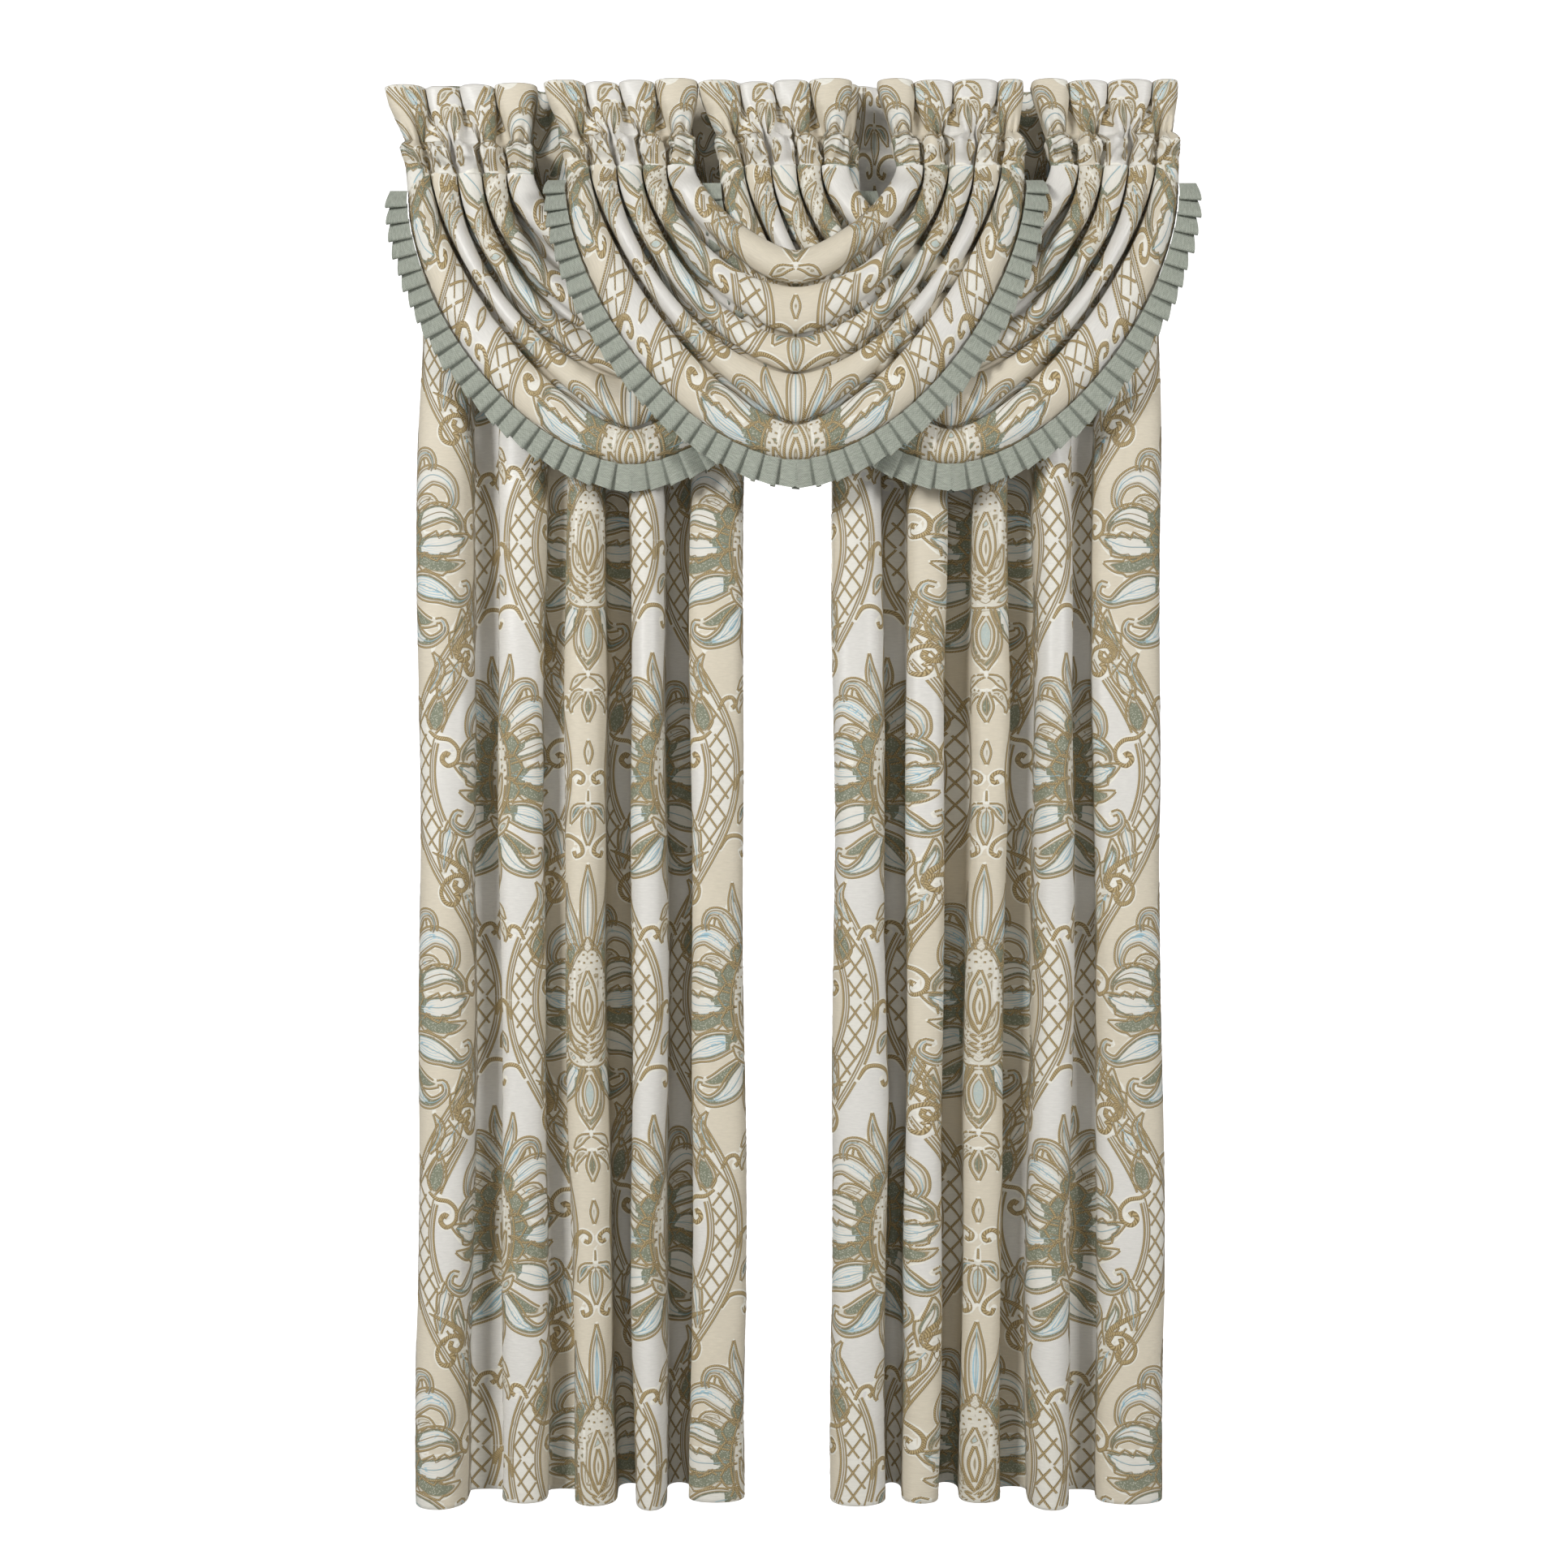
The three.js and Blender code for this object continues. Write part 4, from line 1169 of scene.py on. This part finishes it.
def band_strips():
    """The band's borders of three cords each, and its lattice, over one repeat's height."""
    strips = []
    y = np.linspace(-REPEAT_HEIGHT / 2, REPEAT_HEIGHT / 2, BORDER_POINTS)
    middle = np.stack([band_centre(y), y], 1)
    normal = left_of(middle)
    for side in (1, -1):
        for inset, width, thread in BORDER_CORDS:
            line = middle + normal * side * (BAND_WIDTH / 2 - inset * MM)
            for run in split_runs(line, uncovered(line, MOTIF)):
                strips.append(strip(run, width * MM / 2, thread))
    x = np.linspace(0, REPEAT_WIDTH / 2, LATTICE_POINTS)
    for lean in (1, -1):
        for start in np.arange(-REPEAT_HEIGHT, REPEAT_HEIGHT, LATTICE_RISE):
            line = np.stack([x, start + lean * x * LATTICE_RISE / LATTICE_PITCH], 1)
            inside = np.abs(ogee_field(line)) < BAND_WIDTH / 2 - LATTICE_INSET
            inside &= np.abs(line[:, 1]) <= REPEAT_HEIGHT / 2
            for run in split_runs(line, inside & uncovered(line, MOTIF)):
                strips.append(strip(run, LATTICE_WIDTH / 2, GOLD))
    mirrored = [(left * (-1, 1), right * (-1, 1), thread) for left, right, thread in strips]
    return strips + mirrored


MOTIF_STRIPS = motif_strips()
BAND_STRIPS = band_strips()
print("strips in a motif:", len(MOTIF_STRIPS), " in its band:", len(BAND_STRIPS))

# %% Laying strips on a cloth
CORD_LIFT = 0.45 * MM
LONGEST_QUAD = 30 * MM


def flat_tree(sheet):
    """The cloth's front, laid flat by its print: a tree for rays, its points and its normals."""
    low, high = sheet["rows"]
    places, pattern = sheet["places"][low:high], sheet["pattern"][low:high]
    points = np.concatenate([pattern.reshape(-1, 2), np.zeros((pattern[..., 0].size, 1))], 1)
    faces = grid_faces(*places.shape[:2])
    tree = BVHTree.FromPolygons(points.tolist(), faces.tolist())
    return tree, points, faces, places.reshape(-1, 3), grid_normals(places).reshape(-1, 3)


def lay_points(flat, cloth):
    """Points of the hanging cloth under flat coordinates, lifted off it. Misses are not numbers."""
    tree, points, faces, places, normals = cloth
    found = np.full((len(flat), 3), np.nan)
    for number, (x, y) in enumerate(flat.tolist()):
        face = tree.ray_cast((x, y, 1), (0, 0, -1))[2]
        if face is None:
            continue
        a, b, c, d = faces[face]
        corner = points[a, :2]
        along, up = points[b, :2] - corner, points[d, :2] - corner
        area = along[0] * up[1] - along[1] * up[0]
        gap = (x - corner[0], y - corner[1])
        s = (gap[0] * up[1] - gap[1] * up[0]) / area
        t = (along[0] * gap[1] - along[1] * gap[0]) / area
        weights = ((1 - s) * (1 - t), s * (1 - t), s * t, (1 - s) * t)
        found[number] = sum(weight * (places[i] + normals[i] * CORD_LIFT)
                            for weight, i in zip(weights, (a, b, c, d)))
    return found


def strips_over(pattern):
    """Every strip of the repeats that a cloth's print reaches."""
    least, most = pattern.min(0), pattern.max(0)
    columns, rows = ((math.floor(low / size) - 1, math.ceil(high / size) + 2) for low, high, size
                     in zip(least, most, (REPEAT_WIDTH / 2, REPEAT_HEIGHT)))
    found = []
    for column in range(*columns):
        strips = MOTIF_STRIPS + (BAND_STRIPS if column % 2 == 0 else [])
        for row in range(*rows):
            half_drop = 0.5 * (column % 2)
            shift = np.array((column * REPEAT_WIDTH / 2, (row + half_drop) * REPEAT_HEIGHT))
            for left, right, thread in strips:
                left, right = left + shift, right + shift
                if (left.max(0) >= least).all() and (left.min(0) <= most).all():
                    found.append((left, right, thread))
    return found


def lay_cords(name, sheet):
    """One mesh with every cord of a cloth."""
    low, high = sheet["rows"]
    strips = strips_over(sheet["pattern"][low:high].reshape(-1, 2))
    cloth = flat_tree(sheet)
    points = np.concatenate([lay_points(np.concatenate([entry[edge] for entry in strips]), cloth)
                             for edge in (0, 1)])
    counts = [len(left) for left, _, _ in strips]
    total = sum(counts)
    starts = np.cumsum(counts) - counts
    first = np.concatenate([np.arange(start, start + count - 1)
                            for start, count in zip(starts, counts)])
    faces = np.stack([first + total, first + 1 + total, first + 1, first], 1)
    lengths = np.concatenate([length_along(left) for left, _, _ in strips])
    thread_of = np.repeat([thread for _, _, thread in strips], counts)
    ends = points[faces]
    spans = np.linalg.norm(ends[:, 0] - ends[:, 1], axis=1)
    faces = faces[np.isfinite(ends).all((1, 2)) & (spans < LONGEST_QUAD)]
    used, inverse = np.unique(faces, return_inverse=True)
    coordinates = np.stack([np.repeat((0.0, 1.0), total), np.tile(lengths, 2)], 1)
    return add_mesh(name, points[used], inverse.reshape(faces.shape),
                    {"thread": np.tile(thread_of, 2)[used]}, coordinates[used])


CORDS = {}
for node, sheet in SHEETS.items():
    CORDS[node] = lay_cords(f"cords_{node}", sheet)
print("cord quads:", sum(len(piece.data.polygons) for piece in CORDS.values()))

# %% [markdown]
# ## Shared shader groups
# Three effects are used again and again, so each is a node group with named sockets:
# the threads of a weave, the crisp edge of a woven figure, and the unevenness of real yarn.

# %% Helpers for node trees
def feed(tree, socket, value):
    """Link a value to a socket if it is a socket itself, or else set it."""
    if isinstance(value, bpy.types.NodeSocket):
        tree.links.new(value, socket)
    else:
        socket.default_value = value


def add_node(tree, kind, inputs=(), **settings):
    """A node of a kind, with some settings, and its inputs linked or set in order or by name."""
    node = tree.nodes.new(kind)
    for key, value in settings.items():
        setattr(node, key, value)
    for key, value in inputs.items() if isinstance(inputs, dict) else enumerate(inputs):
        feed(tree, node.inputs[key], value)
    return node


def math_node(tree, operation, *inputs, clamp=False):
    node = add_node(tree, "ShaderNodeMath", inputs, operation=operation, use_clamp=clamp)
    return node.outputs[0]


def sine_wave(tree, value, pitch):
    """A sine that turns once in each pitch of a length."""
    return math_node(tree, "SINE", math_node(tree, "MULTIPLY", value, 2 * math.pi / pitch))


def map_range(tree, value, low, high, start=0.0, end=1.0):
    """A value's place between two, as a share from start to end."""
    return add_node(tree, "ShaderNodeMapRange", {"Value": value, "From Min": low, "From Max": high,
                                                 "To Min": start, "To Max": end}).outputs[0]


def mix_colours(tree, share, first, second, blend="MIX"):
    """A colour between two, each given as a socket or as red, green and blue."""
    first, second = (value if isinstance(value, bpy.types.NodeSocket) else (*value, 1)
                     for value in (first, second))
    return add_node(tree, "ShaderNodeMix", {0: share, 6: first, 7: second}, data_type="RGBA",
                    blend_type=blend).outputs[2]


def new_group(name, inputs, outputs):
    """An empty shader group with float or vector sockets, and its two end nodes."""
    group = bpy.data.node_groups.new(name, "ShaderNodeTree")
    for direction, sockets in (("INPUT", inputs), ("OUTPUT", outputs)):
        for label, kind in sockets.items():
            group.interface.new_socket(name=label, in_out=direction,
                                       socket_type=f"NodeSocket{kind}")
    return group, group.nodes.new("NodeGroupInput"), group.nodes.new("NodeGroupOutput")


def use_group(tree, group, **inputs):
    """A group in a tree, with its inputs linked or set by their labels."""
    node = tree.nodes.new("ShaderNodeGroup")
    node.node_tree = group
    for label, value in inputs.items():
        feed(tree, node.inputs[label.replace("_", " ").capitalize()], value)
    return node


# %% Threads of a weave, edge of a figure and unevenness of yarn
EDGE_SOFTNESS = 0.4 * MM
# Each unevenness: its label, scale, stretch and detail.
UNEVENNESS = (("Slub", 420, (0.22, 1.0, 1.0), 3), ("Drift", 14, (1.0, 0.5, 1.0), 2))


def weave_group():
    """Height of crossing threads: warp and weft waves at a pitch, each bright on top."""
    sockets = {"Place": "Vector", "Warp pitch": "Float", "Weft pitch": "Float"}
    group, start, end = new_group("threads", sockets, {"Height": "Float"})
    parts = add_node(group, "ShaderNodeSeparateXYZ", [start.outputs["Place"]])
    waves = []
    for axis, pitch in (("X", "Warp pitch"), ("Y", "Weft pitch")):
        turns = math_node(group, "DIVIDE", parts.outputs[axis], start.outputs[pitch])
        waves.append(sine_wave(group, turns, 1))
    product = math_node(group, "MULTIPLY", *waves)
    feed(group, end.inputs["Height"], math_node(group, "MULTIPLY_ADD", product, 0.5, 0.5))
    return group


def edge_group():
    """1 where a depth is inside a woven figure, 0 outside, soft over one thread."""
    group, start, end = new_group("figure edge", {"Depth": "Float", "Inset": "Float"},
                                  {"Mask": "Float"})
    depth = math_node(group, "SUBTRACT", start.outputs["Depth"], start.outputs["Inset"])
    feed(group, end.inputs["Mask"], map_range(group, depth, -EDGE_SOFTNESS, EDGE_SOFTNESS))
    return group


def yarn_group():
    """The unevenness of yarn: slubs along the weft and a slow drift of tone, both around 0."""
    group, start, end = new_group("uneven yarn", {"Place": "Vector"},
                                  {"Slub": "Float", "Drift": "Float"})
    for label, scale, stretch, detail in UNEVENNESS:
        stretched = add_node(group, "ShaderNodeVectorMath", [start.outputs["Place"], stretch],
                             operation="MULTIPLY")
        noise = add_node(group, "ShaderNodeTexNoise", {"Vector": stretched.outputs[0],
                                                       "Scale": scale, "Detail": detail})
        level = math_node(group, "SUBTRACT", noise.outputs["Fac"], 0.5)
        feed(group, end.inputs[label], level)
    return group


THREADS_GROUP, EDGE_GROUP, YARN_GROUP = weave_group(), edge_group(), yarn_group()

# %% [markdown]
# ## Materials
# The damask reads its stored fields. From back to front come the two grounds, the white band
# between them, a cream halo round every figure, the fill threads and their streaked hearts.
# A wrong side shows duller. Satin and rib differ in roughness, so light slides along the
# silver folds and spreads on the champagne ones.

# %% Colours and sizes of the threads
SILVER, CHAMPAGNE, BAND_WHITE = (0.70, 0.685, 0.645), (0.66, 0.60, 0.48), (0.74, 0.72, 0.65)
HALO_WIDTH = 2.4 * MM
FINE_LINE_FROM, FINE_LINE_TO = 3.8 * MM, 4.9 * MM
HALO, FINE_LINE = (0.80, 0.78, 0.70), (0.34, 0.27, 0.15)
FILLS = {"ivory": (0.70, 0.67, 0.58), "sage": (0.22, 0.235, 0.165), "aqua": (0.46, 0.53, 0.50)}
IVORY_HEART, AQUA_STREAK = (0.76, 0.74, 0.67), (0.36, 0.56, 0.65)
STIPPLE_WHITE = (0.62, 0.62, 0.52)
REVERSE, REVERSE_SHARE = (0.34, 0.29, 0.20), 0.38
RIBS = dict(warp_pitch=3.2 * MM, weft_pitch=1.1 * MM)
GRAIN = dict(warp_pitch=1.3 * MM, weft_pitch=0.9 * MM)
BASKET = dict(warp_pitch=3.0 * MM, weft_pitch=3.0 * MM)
# A contrast is what a wave is multiplied by and what is added, before it is clamped.
STREAK_PITCH, STREAK_DRIFT, STREAK_CONTRAST = 3.6 * MM, 3.0, (2.0, -1.5)
LINE_PITCH, LINE_STRENGTH, LINE_CONTRAST = 2.7 * MM, 0.6, (1.6, -0.9)
# A dot: where it starts to fade, where it ends, and its strength at both.
STIPPLE_SCALE, STIPPLE_DOT = 420.0, (0.18, 0.42, 0.75, 0.0)
SLUB_TONE, DRIFT_TONE = 0.22, 0.10
CLOTH_ROUGHNESS, SILVER_SMOOTHER, FIGURE_ROUGHER = 0.56, -0.16, 0.06
THREAD_RELIEF, SLUB_RELIEF, DAMASK_RELIEF = 0.15, 0.5, 0.8 * MM
RAISED_FROM, RAISED_TO = -1 * MM, 4 * MM
TWIST_PITCH, TWIST_SLANT, TWIST_RELIEF, CORD_RELIEF = 3.2 * MM, 0.5, 0.25, 0.7 * MM
SIDE_SHADE_SHARPNESS, BASKET_SHADE = 1.6, 0.55
# Cord colours: the twist's lighter one is painted highlight on the plies, its darker one painted
# shade between them, and the third is painted shade on the cord's rounded sides.
TWIST_GROOVE_SHADE, TWIST_HIGHLIGHT, CORD_SIDE_SHADE = (0.21, 0.15, 0.065), (0.54, 0.42, 0.22), (0.25, 0.185, 0.09)
BROWN_THREAD, AQUA_THREAD = (0.40, 0.32, 0.19), (0.42, 0.58, 0.62)
# The canvas's two colours are painted shade in the weave's low gaps and painted light on its raised
# threads, and they also give darker and paler yarn.
CANVAS_SHADE_AND_DARK_YARN, CANVAS_LIT_AND_PALE_YARN = (0.24, 0.265, 0.22), (0.58, 0.605, 0.53)
CORD_ROUGHNESS, CANVAS_ROUGHNESS, CANVAS_RELIEF = 0.45, 0.85, 0.5 * MM


# %% What every cloth shares
def attribute(tree, name):
    return add_node(tree, "ShaderNodeAttribute", attribute_name=name).outputs["Fac"]


def start_cloth(name):
    """A new material, its tree, two short names for its maths, and the flat coordinates."""
    material, tree = add_material(name)
    place = add_node(tree, "ShaderNodeUVMap", uv_map="print").outputs["UV"]
    return material, tree, partial(math_node, tree), partial(mix_colours, tree), place


def finish_cloth(tree, colour, roughness, height, distance, reverse_share=REVERSE_SHARE):
    """Colour, roughness and bump for the shader, with a duller reverse."""
    shader = tree.nodes["Principled BSDF"]
    back = add_node(tree, "ShaderNodeNewGeometry").outputs["Backfacing"]
    dull = mix_colours(tree, reverse_share, colour, REVERSE)
    bump = add_node(tree, "ShaderNodeBump", {"Height": height, "Strength": 1.0,
                                             "Distance": distance})
    for label, value in (("Base Color", mix_colours(tree, back, colour, dull)),
                         ("Roughness", roughness), ("Normal", bump.outputs["Normal"]),
                         ("Sheen Weight", 0.12), ("Sheen Roughness", 0.4),
                         ("Specular IOR Level", 0.35)):
        feed(tree, shader.inputs[label], value)


# %% Damask
def damask_material():
    material, tree, calc, mix, place = start_cloth("damask")
    ogee, figure, heart = (attribute(tree, name) for name in ("ogee", "figure", "heart"))

    def mask(depth, inset=0.0):
        return use_group(tree, EDGE_GROUP, depth=depth, inset=inset).outputs["Mask"]

    in_silver = mask(ogee, BAND_WIDTH / 2 + HALO_WIDTH)
    in_champagne = calc("SUBTRACT", 1.0, mask(ogee, -BAND_WIDTH / 2 - HALO_WIDTH))
    in_figure, in_heart = mask(figure), mask(heart)
    yarn = use_group(tree, YARN_GROUP, place=place)
    ribs = use_group(tree, THREADS_GROUP, place=place, **RIBS)
    grain = use_group(tree, THREADS_GROUP, place=place, **GRAIN)

    # The grounds and the halo, then what fills a leaf: streaks, stipples and fine lines.
    colour = mix(in_silver, BAND_WHITE, SILVER)
    colour = mix(in_champagne, colour, CHAMPAGNE)
    colour = mix(mask(figure, -HALO_WIDTH), colour, HALO)
    streak = sine_wave(tree, heart, STREAK_PITCH)
    streak = calc("MULTIPLY_ADD", yarn.outputs["Drift"], STREAK_DRIFT, streak)
    streak = calc("MULTIPLY_ADD", streak, *STREAK_CONTRAST, clamp=True)
    inner = mix(calc("MULTIPLY", streak, in_heart), IVORY_HEART, AQUA_STREAK)
    stipple = add_node(tree, "ShaderNodeTexVoronoi", {"Vector": place, "Scale": STIPPLE_SCALE})
    dots = map_range(tree, stipple.outputs["Distance"], *STIPPLE_DOT)
    lines = sine_wave(tree, figure, LINE_PITCH)
    lines = calc("MULTIPLY_ADD", lines, *LINE_CONTRAST, clamp=True)
    lines = calc("MULTIPLY", lines, LINE_STRENGTH)
    for name, fill in FILLS.items():
        depth = attribute(tree, name)
        texture, second = (lines, FINE_LINE) if name == "ivory" else (dots, STIPPLE_WHITE)
        filled = mix(mask(depth, FINE_LINE_FROM), FILLS["ivory"], FINE_LINE)
        filled = mix(mask(depth, FINE_LINE_TO), filled, mix(texture, fill, second))
        colour = mix(mask(depth), colour, mix(in_heart, filled, inner))
    tone = calc("MULTIPLY", yarn.outputs["Slub"], SLUB_TONE)
    tone = calc("MULTIPLY_ADD", yarn.outputs["Drift"], DRIFT_TONE, tone)
    tone = add_node(tree, "ShaderNodeCombineColor", [calc("ADD", tone, 1.0)] * 3).outputs[0]
    colour = mix(1.0, colour, tone, blend="MULTIPLY")

    rough = calc("MULTIPLY_ADD", in_silver, SILVER_SMOOTHER, CLOTH_ROUGHNESS)
    rough = calc("MULTIPLY_ADD", in_figure, FIGURE_ROUGHER, rough)
    height = calc("MULTIPLY", ribs.outputs["Height"], in_champagne)
    height = calc("MULTIPLY_ADD", grain.outputs["Height"], in_figure, height)
    height = calc("MULTIPLY", height, THREAD_RELIEF)
    height = calc("ADD", height, map_range(tree, figure, RAISED_FROM, RAISED_TO))
    height = calc("MULTIPLY_ADD", yarn.outputs["Slub"], SLUB_RELIEF, height)
    finish_cloth(tree, colour, rough, height, DAMASK_RELIEF)
    return material


# %% Gold cords
def cord_material():
    material, tree, calc, mix, place = start_cloth("cords")
    parts = add_node(tree, "ShaderNodeSeparateXYZ", [place])
    thread = attribute(tree, "thread")
    across = calc("MULTIPLY_ADD", parts.outputs["X"], 2.0, -1.0)
    round_top = calc("SUBTRACT", 1.0, calc("MULTIPLY", across, across), clamp=True)
    slant = calc("MULTIPLY", across, TWIST_SLANT)
    twist = calc("MULTIPLY_ADD", parts.outputs["Y"], 1 / TWIST_PITCH, slant)
    twist = calc("MULTIPLY_ADD", sine_wave(tree, twist, 1), 0.5, 0.5, clamp=True)
    # Painted light on the gold cord: painted shade darkens it towards both edges of its round
    # section, and the twist's bands are painted highlight and painted shade along its plies.
    rim = calc("MULTIPLY", round_top, SIDE_SHADE_SHARPNESS, clamp=True)
    colour = mix(rim, CORD_SIDE_SHADE, mix(twist, TWIST_GROOVE_SHADE, TWIST_HIGHLIGHT))
    colour = mix(calc("COMPARE", thread, BROWN, 0.5), colour, BROWN_THREAD)
    colour = mix(calc("COMPARE", thread, AQUA, 0.5), colour, AQUA_THREAD)
    height = calc("MULTIPLY_ADD", twist, TWIST_RELIEF, round_top)
    finish_cloth(tree, colour, CORD_ROUGHNESS, height, CORD_RELIEF, reverse_share=0.0)
    return material


# %% Sage canvas of the trims
def canvas_material():
    material, tree, calc, mix, place = start_cloth("trim canvas")
    yarn = use_group(tree, YARN_GROUP, place=place)
    height = use_group(tree, THREADS_GROUP, place=place, **BASKET).outputs["Height"]
    # Painted shade in the basket weave: the colour is darker where its threads lie low and lighter
    # on their raised crossings, and the yarn's slubs vary the tone at random.
    light = calc("MULTIPLY_ADD", height, BASKET_SHADE, yarn.outputs["Slub"])
    finish_cloth(tree, mix(light, CANVAS_SHADE_AND_DARK_YARN, CANVAS_LIT_AND_PALE_YARN), CANVAS_ROUGHNESS, height,
                 CANVAS_RELIEF)
    return material


DAMASK, CORD, CANVAS = damask_material(), cord_material(), canvas_material()
for sheet in SHEETS.values():
    sheet["piece"].data.materials.append(DAMASK)
for piece in CORDS.values():
    piece.data.materials.append(CORD)
for piece in TRIMS.values():
    piece.data.materials.append(CANVAS)
print("materials:", [material.name for material in bpy.data.materials])

# %% [markdown]
# ## Riding and flat widths
# Each visible piece rides on the fixed body and stands for its solid, which is hidden. Each panel,
# header and trim keeps its flat width, measured along its folds as built here, and its length is
# the maker's, with the turnings.


for node, sheet in SHEETS.items():
    piece, cords = sheet["piece"], CORDS[node]
    for rider in (piece, cords):
        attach(rider, "root")
    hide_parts(node)
for node, piece in TRIMS.items():
    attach(piece, "root")
    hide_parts(node)
shown = [*(sheet["piece"] for sheet in SHEETS.values()), *CORDS.values(), *TRIMS.values()]
triangles = [2 * len(piece.data.polygons) for piece in shown]
print("triangles: most in one piece", max(triangles), " in all", sum(triangles))
